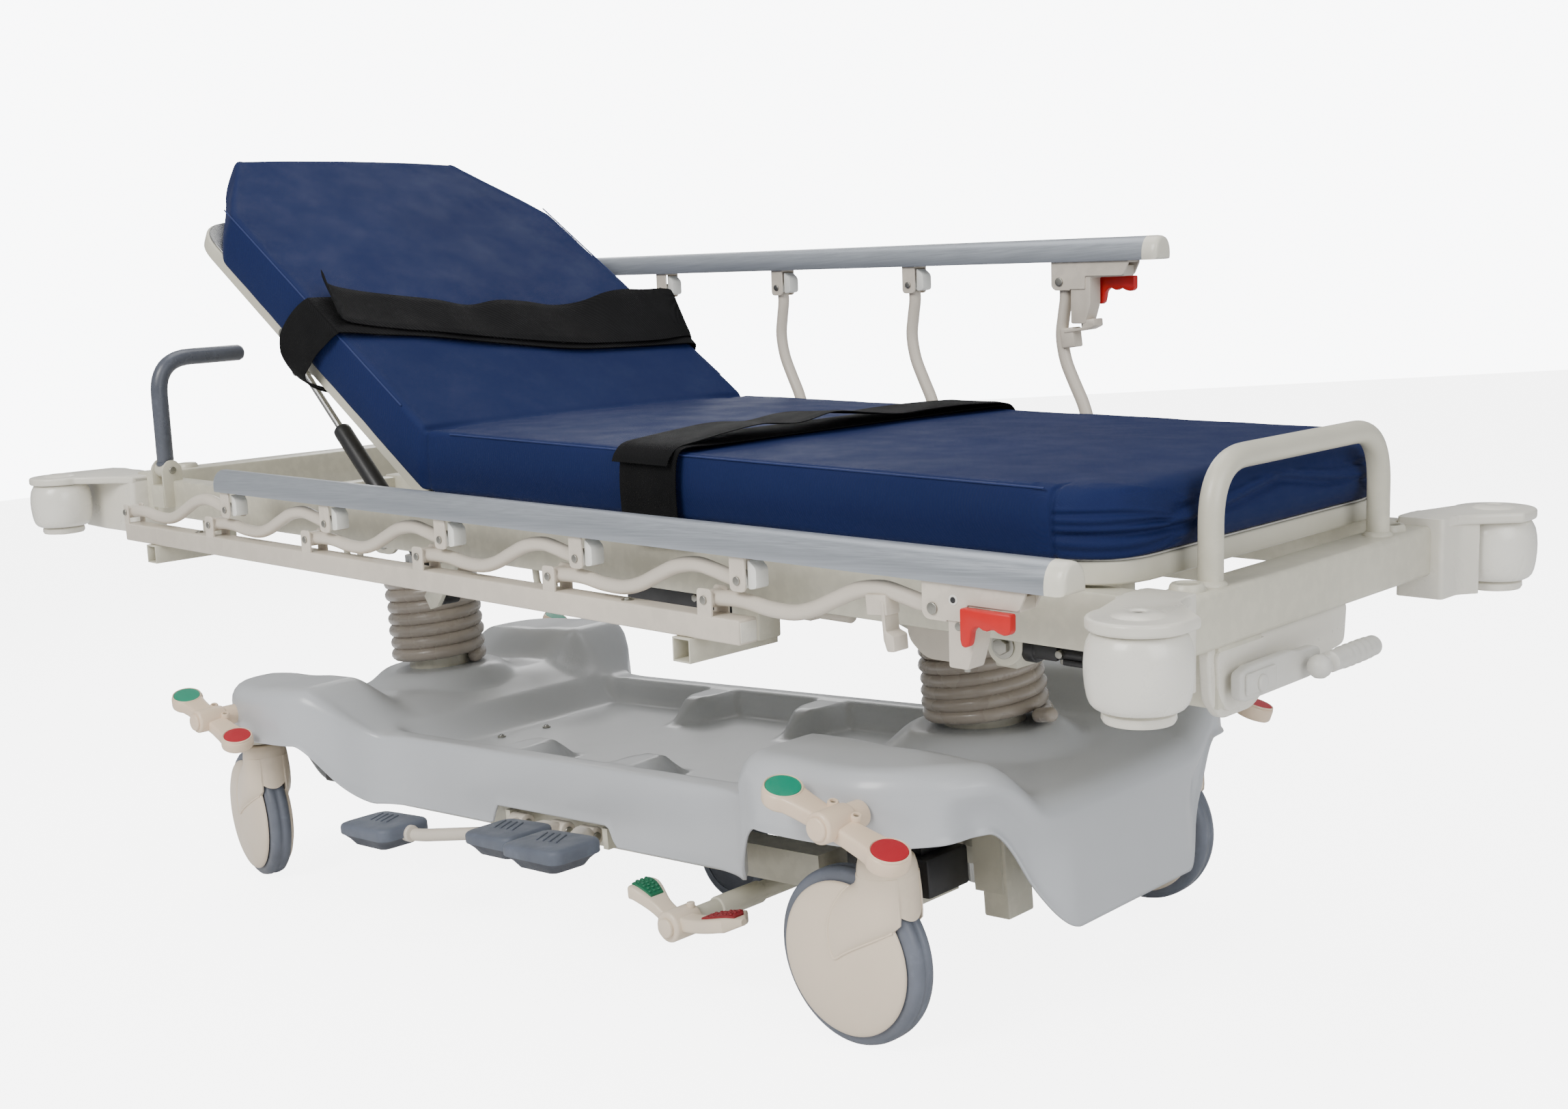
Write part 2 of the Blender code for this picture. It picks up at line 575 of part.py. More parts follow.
def deck_side(side):
    """Everything that repeats on the near and far sides of the deck frame."""
    solids = [side_box(side, -0.815, 0.800, 0.075, 0.105, 0.519, 0.549)]
    for x, headward, footward in COLUMN_CHEEKS:
        x0, x1, bottom, top = x - headward, x + footward, PIVOT_Z - 0.018, 0.535
        solids.append(prism([(x0, top), (x0, bottom), (x1, bottom), (x1, top)],
                            'y', side * 0.0765, side * 0.0835))
    for x in OUTRIGGER_XS:
        solids.append(side_box(side, x - 0.014, x + 0.014, 0.240, 0.373, 0.462, 0.490))
        solids.append(side_box(side, x - 0.022, x + 0.022, 0.242, 0.278, 0.470, 0.530))
    solids += bumper_mount(side, FOOT_BUMPER_X, 0.930, 0.985)
    solids += bumper_mount(side, HEAD_BUMPER_X, -1.062, -0.950)
    # IV socket
    solids.append(cylinder((0.9445, side * 0.214, 0.571), 'z', 0.0155, 0.008, 18))
    return solids + [side_box(side, *row) for row in HANDLE_BRACKET]


parts = [box(*row) for row in DECK_PERIMETER] + deck_side(-1) + deck_side(1)
parts += [box(x - 0.015, x + 0.015, -0.262, 0.262, 0.523, 0.546) for x in CROSSBAR_XS]
parts.append(tube(rounded(LOOP_PATH, 0.035, 3), 0.0120))
parts.append(box(0.926, 0.966, -0.192, -0.108, 0.452, 0.518))       # crank gearbox
parts.append(box(0.685, 0.715, -0.172, -0.100, 0.455, 0.530))       # inner bearing block
parts.append(prism(STRUT_ANCHOR, 'y', -0.232, -0.224))
bores = [cylinder((x, CRANK_Y, CRANK_Z), 'x', 0.0085, 0.06, 14) for x in (0.700, 0.946)]
part("deck_frame", fuse(parts, bores), "frame", parent=DECK)

for end_key, x in (("f", FOOT_BUMPER_X), ("h", HEAD_BUMPER_X)):
    for side_key, side in (("n", -1), ("f", 1)):
        y = side * BUMPER_Y
        roller = moved(revolve(ROLLER_PROFILE, 16), Matrix.Translation((x, y, 0)))
        part("bumper_roller_" + end_key + side_key, roller, "bumper",
             origin=(x, y, 0.533), parent=DECK, smooth=True)

# ---------------------------------------------------------------- leg panel and seat mattress
outline = panel_outline(-0.144, 0.912, 0.285, head_radius=0, foot_radius=0.06)
part("leg_panel", prism(outline, 'z', 0.5785, 0.6030), "frame", parent=DECK)

SEAT_HEAD_X, SEAT_BOTTOM = -0.148, 0.6035
outline = panel_outline(SEAT_HEAD_X, 0.925, 0.300, head_radius=0, foot_radius=0.055)
seat = bevelled(prism(outline, 'z', SEAT_BOTTOM, 0.680), 0.006)
for vert in seat.data.vertices:
    if vert.co.z > 0.65:            # top slopes down toward the foot
        vert.co.z += 0.007 - 0.014 * (vert.co.x - SEAT_HEAD_X) / 1.07
    if vert.co.x < -0.13:           # head face leans away from the backrest
        vert.co.x += 0.006 + 0.048 * (vert.co.z - SEAT_BOTTOM) / 0.0835
part("mattress_seat", seat, "navy", parent=DECK)

# ---------------------------------------------------------------- backrest (hinge coordinates)
BACK = empty("back_pose", BACK_HINGE, (0, BACK_ANGLE, 0), DECK)
outline = panel_outline(-0.695, -0.006, 0.285, head_radius=0.05, foot_radius=0)
strut_bracket = box(-0.478, -0.438, -0.178, -0.171, -0.118, -0.005)
part("back_panel", fuse([prism(outline, 'z', -0.010, 0.0120), strut_bracket]), "frame",
     parent=BACK)

# x, half width of the mattress faces, from the hinge to the head
BACK_LOWER = [(0.0000, 0.298), (-0.575, 0.298), (-0.745, 0.208), (-0.755, 0.195)]
BACK_UPPER = [(-0.0435, 0.296), (-0.578, 0.296), (-0.742, 0.207), (-0.750, 0.195)]
shape = bmesh.new()
lower, upper = (
    [shape.verts.new((x, -y, z)) for x, y in half]
    + [shape.verts.new((x, y, z)) for x, y in reversed(half)]
    for half, z in ((BACK_LOWER, 0.0125), (BACK_UPPER, 0.0893)))
shape.faces.new(lower[::-1])
shape.faces.new(upper)
for i in range(len(lower)):
    j = (i + 1) % len(lower)
    shape.faces.new((lower[i], lower[j], upper[j], upper[i]))
part("mattress_back", mesh_object(shape), "navy", parent=BACK)

# ---------------------------------------------------------------- gas spring under the backrest
SPRING_FOOT, SPRING_TOP = Vector((-0.260, -0.200, 0.434)), Vector((-0.600, -0.200, 0.754))
# radius, distance along the spring
SPRING_TUBE = [(0.0125, 0.335), (0.0125, 0.018), (0.0065, 0.018), (0.0065, 0.335)]
span = SPRING_TOP - SPRING_FOOT
turn = Vector((0, 0, 1)).rotation_difference(span.normalized()).to_matrix().to_4x4()
spring_pose = Matrix.Translation(SPRING_FOOT) @ turn
barrel = fuse([revolve(SPRING_TUBE, 18), cylinder((0, 0, 0.008), 'y', 0.011, 0.030, 14),
               cylinder((0, 0, 0.022), 'z', 0.0120, 0.022, 18)],
              [cylinder((0, 0, 0.20), 'z', 0.0064, 0.3, 18)])
part("gas_spring_cylinder", moved(barrel, spring_pose), "black", origin=SPRING_FOOT,
     parent=DECK)
ROD_START = 0.14
rod = fuse([
    cylinder((0, 0, (span.length + ROD_START) / 2), 'z', 0.0055, span.length - ROD_START, 14),
    cylinder((0, 0, span.length - 0.001), 'y', 0.010, 0.028, 14)])
part("gas_spring_rod", moved(rod, spring_pose), "steel", origin=SPRING_TOP, parent=DECK)

# ---------------------------------------------------------------- push handles
HANDLE_X, HANDLE_Y = -0.895, 0.285
for key, side in (("near", -1), ("far", 1)):
    y = side * HANDLE_Y
    path = [(HANDLE_X, y, 0.5830), (HANDLE_X, y, 0.768), (HANDLE_X, side * 0.140, 0.770)]
    part("push_handle_" + key, tube(rounded(path, 0.045, 4), 0.0130), "slate",
         origin=(HANDLE_X, y, 0.592), parent=DECK)

# ---------------------------------------------------------------- crank
arm = fuse([bevelled(box(0.9730, 0.9865, -0.168, -0.030, 0.4645, 0.4865), 0.002),
            cylinder((0.9655, CRANK_Y, CRANK_Z), 'x', 0.0075, 0.039, 14)])
part("crank_arm", arm, "grip", origin=(0.980, CRANK_Y, CRANK_Z), parent=DECK)
GRIP_PIVOT = (0.9950, -0.037, 0.4755)
grip = fuse([cylinder((1.0010, 0.00725, 0.4755), 'y', 0.0115, 0.1005, 16),
             cylinder(GRIP_PIVOT, 'z', 0.0080, 0.017, 18)])
part("crank_grip", grip, "grip", origin=GRIP_PIVOT, parent=DECK)
SHAFT_CENTRE = (0.800, CRANK_Y, CRANK_Z)
shaft = fuse([cylinder(SHAFT_CENTRE, 'x', 0.0075, 0.270, 14),
              cylinder((0.760, CRANK_Y, CRANK_Z), 'x', 0.012, 0.060, 14)])
part("crank_shaft", shaft, "black", origin=SHAFT_CENTRE, parent=DECK)

# ---------------------------------------------------------------- side rails
LAST_POST = POST_COUNT - 1
LATCH_X = POST_PITCH * LAST_POST    # last upper pin, from the first
# distance along the post, offset across it: an S bend
POST_PATH = [(0, 0), (0.045, -0.001), (0.100, -0.0105), (0.140, -0.0105), (0.205, 0.0135),
             (0.250, 0.0145), (0.290, 0.0035), (POST_LENGTH, 0)]
# y from the rail plane, z above the upper pins
TOP_PROFILE = [(-0.0185, 0.026), (0.0185, 0.026), (0.0190, 0.038), (0.0150, 0.048),
               (0.0080, 0.055), (0, 0.057), (-0.0080, 0.055), (-0.0150, 0.048),
               (-0.0190, 0.038)]
# x from the last upper pin, z above it
RELEASE_OUTLINE = [(0.040, -0.030), (0.051, -0.030), (0.054, -0.012), (0.062, -0.008),
                   (0.098, -0.010), (0.098, 0.006), (0.042, 0.006)]


def clevis(x0, x1, y, z0, z1):
    """Pair of thin plates either side of the rail plane."""
    return [box(x0, x1, y + side * 0.0112, y + side * 0.0138, z0, z1) for side in SIDES]


def build_rail_bar(key, y):
    parts = [box(-0.872, 0.502, y - 0.0145, y + 0.0145, 0.4905, 0.5180)]
    for i in range(POST_COUNT):
        x = RAIL_PIN_X + POST_PITCH * i
        headward = 0.0105 if i else 0.0015      # first clevis stops at the bar end
        parts += clevis(x - headward, x + 0.0105, y, 0.510, RAIL_PIN_Z + 0.011)
    part("rail_bar_" + key, fuse(parts), "bar", parent=DECK)


def build_rail_post(key, i, y, angle):
    pin = (RAIL_PIN_X + POST_PITCH * i, y, RAIL_PIN_Z)
    parts = [tube([(along, 0, offset) for along, offset in POST_PATH], 0.0085, 1)]
    parts += [cylinder((x, 0, 0), 'y', 0.0095, 0.0205, 10) for x in (0, POST_LENGTH)]
    if i == LAST_POST:              # block and tongue near the upper pin
        parts.append(box(0.230, 0.2545, -0.0100, 0.0100, -0.0095, 0.0095))
        parts.append(box(0.2490, 0.2530, -0.0115, 0.0100, -0.046, 0.0))
    pose = Matrix.Translation(pin) @ Matrix.Rotation(-angle, 4, 'Y')
    part("rail_post_%s_%d" % (key, i + 1), moved(fuse(parts), pose), "bar",
         origin=pin, parent=DECK)


def build_rail_top(key, y, pin_x, pin_z):
    """Top rail with its upper clevises and latch housing."""
    parts = [prism([(y + offset, z) for offset, z in TOP_PROFILE], 'x', -0.020, 1.473)]
    for i in range(LAST_POST):
        x = POST_PITCH * i
        parts += clevis(x - 0.0105, x + 0.0105, y, -0.011, 0.030)
    parts += clevis(LATCH_X - 0.013, LATCH_X + 0.105, y, -0.009, 0.030)
    parts.append(box(LATCH_X + 0.0165, LATCH_X + 0.051, y - 0.0136, y + 0.0136, -0.056, 0.029))
    parts.append(box(LATCH_X + 0.045, LATCH_X + 0.103, y - 0.0135, y + 0.0135, 0.002, 0.0285))
    parts.append(cylinder((LATCH_X + 0.030, y, -0.0565), 'z', 0.003, 0.005, 10))
    rail = moved(fuse(parts), Matrix.Translation((pin_x, 0, pin_z)))
    part("rail_top_" + key, rail, "railgrey", origin=(pin_x, y, pin_z), parent=DECK)


def build_rail_release(key, side, y, pin_x, pin_z):
    """Lever on the outer face of the latch housing."""
    lever = prism([(LATCH_X + x, z) for x, z in RELEASE_OUTLINE], 'y',
                  y + side * 0.0142, y + side * 0.0250)
    part("rail_release_" + key, moved(lever, Matrix.Translation((pin_x, 0, pin_z))), "red",
         origin=(pin_x + LATCH_X + 0.046, y + side * 0.02, pin_z), parent=DECK)


for key, side, angle in (("near", -1, FOLDED_ANGLE), ("far", 1, RAISED_ANGLE)):
    y = side * RAIL_Y
    build_rail_bar(key, y)
    for i in range(POST_COUNT):
        build_rail_post(key, i, y, angle)
    pin_x = RAIL_PIN_X + POST_LENGTH * math.cos(angle)      # first upper pin
    pin_z = RAIL_PIN_Z + POST_LENGTH * math.sin(angle)
    build_rail_top(key, y, pin_x, pin_z)
    build_rail_release(key, side, y, pin_x, pin_z)

for obj in TROLLEY.objects:
    if obj.parent is None:
        obj.location.x += CENTRING_X
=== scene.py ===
# A wheeled patient stretcher: base cover, two lifting columns, four castors, pedals, a deck
# with a hinged backrest, mattress, straps, folding side rails and a crank.
# X runs from the head end (-X) to the foot end (+X), the near side is -Y, Z is up and the
# floor is z = 0. Base pieces are drawn level. Deck pieces are drawn level and tilted by DECK.
# Backrest pieces are drawn from the hinge toward -X and raised by BACK.
import math
import bmesh
import bpy
from mathutils import Matrix, Vector, noise


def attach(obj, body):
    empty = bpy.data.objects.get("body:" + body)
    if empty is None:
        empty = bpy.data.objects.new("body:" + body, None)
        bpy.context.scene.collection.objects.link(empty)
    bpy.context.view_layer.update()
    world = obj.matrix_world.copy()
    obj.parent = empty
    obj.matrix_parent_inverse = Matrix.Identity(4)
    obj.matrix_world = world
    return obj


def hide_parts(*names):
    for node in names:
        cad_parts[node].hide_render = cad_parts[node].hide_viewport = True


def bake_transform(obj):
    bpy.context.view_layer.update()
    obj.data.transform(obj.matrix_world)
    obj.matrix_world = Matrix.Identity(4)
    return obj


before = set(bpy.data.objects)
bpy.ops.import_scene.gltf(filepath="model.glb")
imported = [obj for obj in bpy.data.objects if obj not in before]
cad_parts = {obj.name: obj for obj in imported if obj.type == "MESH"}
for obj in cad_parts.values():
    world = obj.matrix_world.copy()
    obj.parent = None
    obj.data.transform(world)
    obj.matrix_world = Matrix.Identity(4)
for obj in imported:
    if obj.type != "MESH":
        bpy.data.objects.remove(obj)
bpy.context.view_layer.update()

rad = math.radians
SIDES = (-1, 1)


def at(x, y, z):
    return Matrix.Translation((x, y, z))


def turn(degrees, axis):
    return Matrix.Rotation(rad(degrees), 4, axis)


HINGE = (-0.165, 0.0, 0.590)
BACK_TURN = turn(33.4, 'Y')
SHARED = at(0.008579, 0, 0)          # drawing coordinates to the shared frame
LEVEL = Matrix.Identity(4)
DECK = turn(3.953, 'Y')
BACK = DECK @ at(*HINGE) @ BACK_TURN
Z_TO_X = turn(90, 'Y')
Z_TO_Y = turn(-90, 'X')

COLUMN_X = 0.56
COIL_Z = 0.2985                      # underside of both column coils
SWIVEL_X, SWIVEL_Y = 0.641, 0.288
TRAIL = 0.055                        # axle behind the swivel
WHEEL_R = 0.100
HANDLE_X, HANDLE_Y = -0.895, 0.285   # push handles
CRANK_Y, CRANK_Z = -0.150, 0.475
PIN_X, PIN_Z = -0.870, 0.535         # lower pin of the first rail post
POST_PITCH, POST_LENGTH, RAIL_Y = 0.264, 0.317, 0.360


def ease(low, high, x):
    """Smooth step from 0 at low to 1 at high."""
    t = max(0.0, min(1.0, (x - low) / (high - low)))
    return t * t * (3 - 2 * t)


def lerp(a, b, t):
    return a + (b - a) * t


def bell(offset, width):
    return math.exp(-(offset / width) ** 2)


def wander(x, y, z):
    return noise.noise(Vector((x, y, z)))


def add_object(name, data):
    item = bpy.data.objects.new(name, data)
    bpy.context.scene.collection.objects.link(item)
    return item


# ------------------------------------------------------------------ materials
class Shader:
    """Builds one material's nodes around its Principled shader."""

    def __init__(self, name):
        self.material = bpy.data.materials.new(name)
        self.material.use_nodes = True
        self.tree = self.material.node_tree
        self.principled = self.tree.nodes["Principled BSDF"]
        self.coords = self.node("TexCoord").outputs["Object"]

    def node(self, kind, **values):
        node = self.tree.nodes.new("ShaderNode" + kind)
        for key, value in values.items():
            if key in node.inputs.keys():
                node.inputs[key].default_value = value
            else:
                setattr(node, key, value)
        return node

    def feed(self, socket, value):
        """Set a colour or number, or link an output."""
        if isinstance(value, tuple):
            socket.default_value = (*value, 1.0)
        elif isinstance(value, (int, float)):
            socket.default_value = value
        else:
            self.tree.links.new(value, socket)

    def mapping(self, **values):
        node = self.node("Mapping", **values)
        self.feed(node.inputs["Vector"], self.coords)
        return node.outputs["Vector"]

    def noise(self, scale, detail, rough=0.5, coords=None):
        node = self.node("TexNoise", Scale=scale, Detail=detail, Roughness=rough)
        self.feed(node.inputs["Vector"], coords or self.coords)
        return node.outputs["Fac"]

    def remap(self, value, span, to=(0.0, 1.0)):
        node = self.node("MapRange")
        keys = ("From Min", "From Max", "To Min", "To Max")
        for key, number in zip(keys, (*span, *to)):
            node.inputs[key].default_value = number
        self.feed(node.inputs["Value"], value)
        return node.outputs["Result"]

    def mix(self, factor, first, second):
        node = self.node("Mix", data_type='RGBA')
        for index, value in ((6, first), (7, second), (0, factor)):
            self.feed(node.inputs[index], value)
        return node.outputs[2]

    def math(self, operation, first, second):
        node = self.node("Math", operation=operation)
        self.feed(node.inputs[0], first)
        self.feed(node.inputs[1], second)
        return node.outputs[0]

    def bump(self, height, strength, distance, below=None):
        node = self.node("Bump", Strength=strength, Distance=distance)
        self.feed(node.inputs["Height"], height)
        if below is not None:
            self.feed(node.inputs["Normal"], below)
        return node.outputs["Normal"]

    def finish(self, color, rough, normal=None, **values):
        inputs = self.principled.inputs
        self.feed(inputs["Base Color"], color)
        self.feed(inputs["Roughness"], rough)
        if normal is not None:
            self.feed(inputs["Normal"], normal)
        for key, value in values.items():
            inputs[key.replace("_", " ")].default_value = value
        return self.material


def linear(rgb):
    """8-bit sRGB to linear colour."""
    return tuple((c / 255 / 12.92) if c <= 10 else ((c / 255 + 0.055) / 1.055) ** 2.4
                 for c in rgb)


def shade(color, factor):
    return tuple(min(1.0, c * factor) for c in color)


def paint(name, rgb, rough, metal=0.0, var=0.05, peel=0.10, coat=0.15, wear=0.35,
          grain=900.0, speck=0.35, hollow_shade=0.45, gloss=1.0):
    """Coated metal or moulding: tone drift, orange peel, scuffed edges, painted shade darkening the
    hollows.
    """
    n = Shader(name)
    base = linear(rgb)
    color = n.mix(n.remap(n.noise(scale=5.0, detail=4.0), span=(0.35, 0.65)),
                  shade(base, 1 - var), shade(base, 1 + var))
    dots = n.remap(n.noise(scale=420.0, detail=2.0), span=(0.66, 0.80), to=(0.0, speck))
    color = n.mix(dots, color, shade(base, 0.80))
    pointed = n.node("NewGeometry").outputs["Pointiness"]
    edge = n.remap(pointed, span=(0.515, 0.58))
    scuff = n.remap(n.noise(scale=60.0, detail=3.0), span=(0.45, 0.6), to=(0.0, wear))
    color = n.mix(n.math('MULTIPLY', edge, scuff), color, shade(base, 1.25))
    # painted shade: concave spots, found by low pointiness, are darkened toward 0.62 of the base
    # colour
    hollow_shade_mask = n.remap(pointed, span=(0.47, 0.40), to=(0.0, hollow_shade))
    color = n.mix(hollow_shade_mask, color, shade(base, 0.62))
    mottle = n.noise(scale=22.0, detail=5.0 if gloss == 1.0 else 1.5)
    roughness = n.remap(mottle, span=(0.3, 0.7), to=(rough - 0.07 * gloss, rough + 0.09 * gloss))
    normal = n.bump(n.noise(scale=grain, detail=2.0), strength=peel, distance=0.0004)
    normal = n.bump(n.noise(scale=9.0, detail=2.0), strength=0.05, distance=0.004, below=normal)
    return n.finish(color, roughness, normal, Metallic=metal, Coat_Weight=coat,
                    Coat_Roughness=0.15)


def brushed(name, rgb, rough, axis, metal):
    """Metal with fine streaks along one axis."""
    n = Shader(name)
    base = linear(rgb)
    scale = [700.0] * 3
    scale[axis] = 12.0
    streak = n.noise(scale=1.0, detail=3.0, rough=0.6, coords=n.mapping(Scale=scale))
    color = n.mix(n.remap(streak, span=(0.3, 0.7)), shade(base, 0.9), shade(base, 1.1))
    stain = n.remap(n.noise(scale=7.0, detail=3.0), span=(0.4, 0.7), to=(0.0, 0.35))
    color = n.mix(stain, color, shade(base, 0.82))
    roughness = n.remap(streak, span=(0.3, 0.7), to=(rough - 0.06, rough + 0.1))
    normal = n.bump(streak, strength=0.10, distance=0.0004)
    return n.finish(color, roughness, normal, Metallic=metal)


def rubber(name, rgb, rough):
    """Dusty fine-grained rubber."""
    n = Shader(name)
    base = linear(rgb)
    color = n.mix(n.remap(n.noise(scale=14.0, detail=5.0), span=(0.35, 0.65)),
                  shade(base, 0.86), shade(base, 1.14))
    dust = n.remap(n.noise(scale=55.0, detail=4.0), span=(0.58, 0.75), to=(0.0, 0.30))
    color = n.mix(dust, color, shade(base, 1.7))
    roughness = n.remap(n.noise(scale=30.0, detail=4.0), span=(0.3, 0.7),
                        to=(rough - 0.1, rough + 0.12))
    normal = n.bump(n.noise(scale=1500.0, detail=2.0), strength=0.25, distance=0.0004)
    return n.finish(color, roughness, normal)


def weave(name, rgb, pitch, rough, sheen, spec, twill=False, slack=0.0, drift=0.08):
    """Woven cloth: one (twill) or two sets of threads, tone drift, lint and soft creases."""
    n = Shader(name)
    base = linear(rgb)
    sets = []
    for tilt in ((0, rad(38), rad(20)), (rad(12), rad(-40), rad(75)))[:1 if twill else 2]:
        wave = n.node("TexWave", Scale=1.0 / pitch / 6.283 * 3.0, Distortion=0.6)
        wave.inputs["Detail Scale"].default_value = 4.0
        n.feed(wave.inputs["Vector"], n.mapping(Rotation=tilt))
        sets.append(wave.outputs["Fac"])
    threads = sets[0] if twill else n.math('MAXIMUM', *sets)
    color = n.mix(n.remap(n.noise(scale=3.2, detail=3.0), span=(0.35, 0.65)),
                  shade(base, 1 - drift), shade(base, 1 + drift))
    color = n.mix(n.remap(threads, span=(0.0, 1.0), to=(0.0, 0.25)), color, shade(base, 1.25))
    lint = n.remap(n.noise(scale=700.0, detail=2.0), span=(0.72, 0.84), to=(0.0, 0.35))
    color = n.mix(lint, color, shade(base, 1.5))
    normal = n.bump(threads, strength=0.7 if twill else 0.35,
                    distance=0.0009 if twill else 0.0005)
    if slack:
        coords = n.mapping(Scale=(5.0, 2.0, 5.0), Rotation=(0, 0, rad(24)))
        creases = n.noise(scale=1.0, detail=3.0, rough=0.55, coords=coords)
        normal = n.bump(creases, strength=slack, distance=0.02, below=normal)
    roughness = n.remap(n.noise(scale=18.0, detail=4.0), span=(0.3, 0.7),
                        to=(rough - 0.06, rough + 0.08))
    return n.finish(color, roughness, normal, Sheen_Weight=sheen, Sheen_Roughness=0.45,
                    Specular_IOR_Level=spec)


FRAME = paint("ivory_coat", (197, 193, 176), rough=0.38)
BAR = paint("beige_coat", (203, 194, 180), rough=0.40)
COVER = paint("cover_moulding", (184, 187, 191), rough=0.32, var=0.020, peel=0.01, coat=0.22,
              wear=0.0, speck=0.0, grain=240.0, hollow_shade=0.0, gloss=0.3)
IVORY = paint("ivory_moulding", (222, 206, 184), rough=0.36, var=0.03, peel=0.05, wear=0.15,
              grain=300.0)
PEDAL = paint("pedal_moulding", (226, 203, 177), rough=0.38, var=0.03, peel=0.06, grain=300.0,
              wear=0.2)
BUMPER = paint("bumper_moulding", (226, 223, 213), rough=0.26, var=0.025, peel=0.05, coat=0.35)
ARM = paint("bumper_arm_moulding", (216, 212, 200), rough=0.32, var=0.03, coat=0.2)
CRANK = paint("crank_moulding", (203, 201, 194), rough=0.42, var=0.03, grain=1400.0, peel=0.2)
TYRE = rubber("tyre_rubber", (100, 105, 116), rough=0.45)
TREAD = rubber("tyre_tread", (84, 88, 98), rough=0.6)
SLATE = rubber("pedal_rubber_top", (86, 92, 104), rough=0.5)
# darker copy of the pedal rubber for the pedals' undersides: painted shade
SLATE_PAINTED_SHADE = rubber("pedal_rubber_under_painted_shade", (58, 62, 72), rough=0.6)
GRIP = rubber("handle_sleeve", (80, 84, 94), rough=0.30)
BLACK = paint("black_coat", (30, 30, 32), rough=0.42, var=0.1, coat=0.05)
COIL = paint("coil_hose", (164, 154, 143), rough=0.26, var=0.04, peel=0.05, coat=0.35)
RAIL = brushed("rail_anodised", (152, 157, 164), rough=0.34, axis=0, metal=0.45)
CAP = paint("cap_moulding", (219, 215, 200), rough=0.33, var=0.03)
RED = paint("release_red", (196, 2, 2), rough=0.38, coat=0.05)
DISC_GREEN = paint("disc_green", (2, 138, 108), rough=0.50, var=0.06, peel=0.3, coat=0.0)
DISC_RED = paint("disc_red", (172, 16, 36), rough=0.50, var=0.06, peel=0.3, coat=0.0)
INSERT_GREEN = paint("insert_green", (0, 96, 64), rough=0.55, var=0.15, peel=0.5, coat=0.0)
INSERT_RED = paint("insert_red", (128, 8, 20), rough=0.55, var=0.15, peel=0.5, coat=0.0)
NYLON = paint("nylon", (228, 228, 222), rough=0.45, var=0.02)
STEEL = brushed("bright_steel", (176, 176, 174), rough=0.25, axis=2, metal=1.0)
ZINC = brushed("zinc_steel", (160, 158, 150), rough=0.35, axis=1, metal=1.0)
# flat dark grey for holes and recesses: painted shade, not a finish of the real thing
HOLE_SHADE = paint("painted_hole_shade", (44, 44, 42), rough=0.7, coat=0.0)
NAVY = weave("navy_cover", (20, 32, 71), pitch=0.0011, rough=0.60, sheen=0.0, spec=0.10,
             slack=0.10, drift=0.05)
THREAD = weave("navy_thread", (30, 43, 88), pitch=0.0008, rough=0.55, sheen=0.01, spec=0.25)
WEBBING = weave("black_webbing", (10, 10, 11), pitch=0.0026, rough=0.70, sheen=0.0, spec=0.12,
                twill=True)


# ------------------------------------------------------------------ paths and outlines
def spline(points, per=6):
    """Catmull-Rom curve through points, per steps to each span."""
    pts = [Vector(p) for p in points]
    pts = [pts[0] * 2 - pts[1]] + pts + [pts[-1] * 2 - pts[-2]]
    out = []
    for a, b, c, d in zip(pts, pts[1:], pts[2:], pts[3:]):
        for k in range(per):
            t = k / per
            out.append(0.5 * ((2 * b) + (c - a) * t + (2 * a - 5 * b + 4 * c - d) * t * t
                              + (3 * b - a - 3 * c + d) * t ** 3))
    out.append(pts[-2])
    return out


def corner(before, point, after, radius, steps):
    """Points of a curve that cuts the corner at point."""
    back, ahead = before - point, after - point
    reach = min(radius, back.length * 0.49, ahead.length * 0.49)
    start = point + back.normalized() * reach
    end = point + ahead.normalized() * reach
    return [start * (1 - t) ** 2 + point * 2 * t * (1 - t) + end * t ** 2
            for t in (i / steps for i in range(steps + 1))]


def bent(points, radius, steps):
    """Open path with rounded corners."""
    pts = [Vector(p) for p in points]
    out = [pts[0]]
    for trio in zip(pts, pts[1:], pts[2:]):
        out += corner(*trio, radius, steps)
    return out + [pts[-1]]


def soften(outline, radius, steps=6):
    """Closed outline with rounded corners; radius is one value or one for each corner."""
    pts = [Vector(p) for p in outline]
    radii = radius if isinstance(radius, (list, tuple)) else [radius] * len(pts)
    out = []
    for i, size in enumerate(radii):
        if size <= 0:
            out.append(pts[i])
        else:
            out += corner(pts[i - 1], pts[i], pts[(i + 1) % len(pts)], size, steps)
    return out


def rectangle(x0, x1, y0, y1):
    return [(x0, y0), (x1, y0), (x1, y1), (x0, y1)]


def arc(x, y, radius, start, end, steps):
    angles = [rad(start + (end - start) * i / steps) for i in range(steps + 1)]
    return [(x + radius * math.cos(a), y + radius * math.sin(a)) for a in angles]


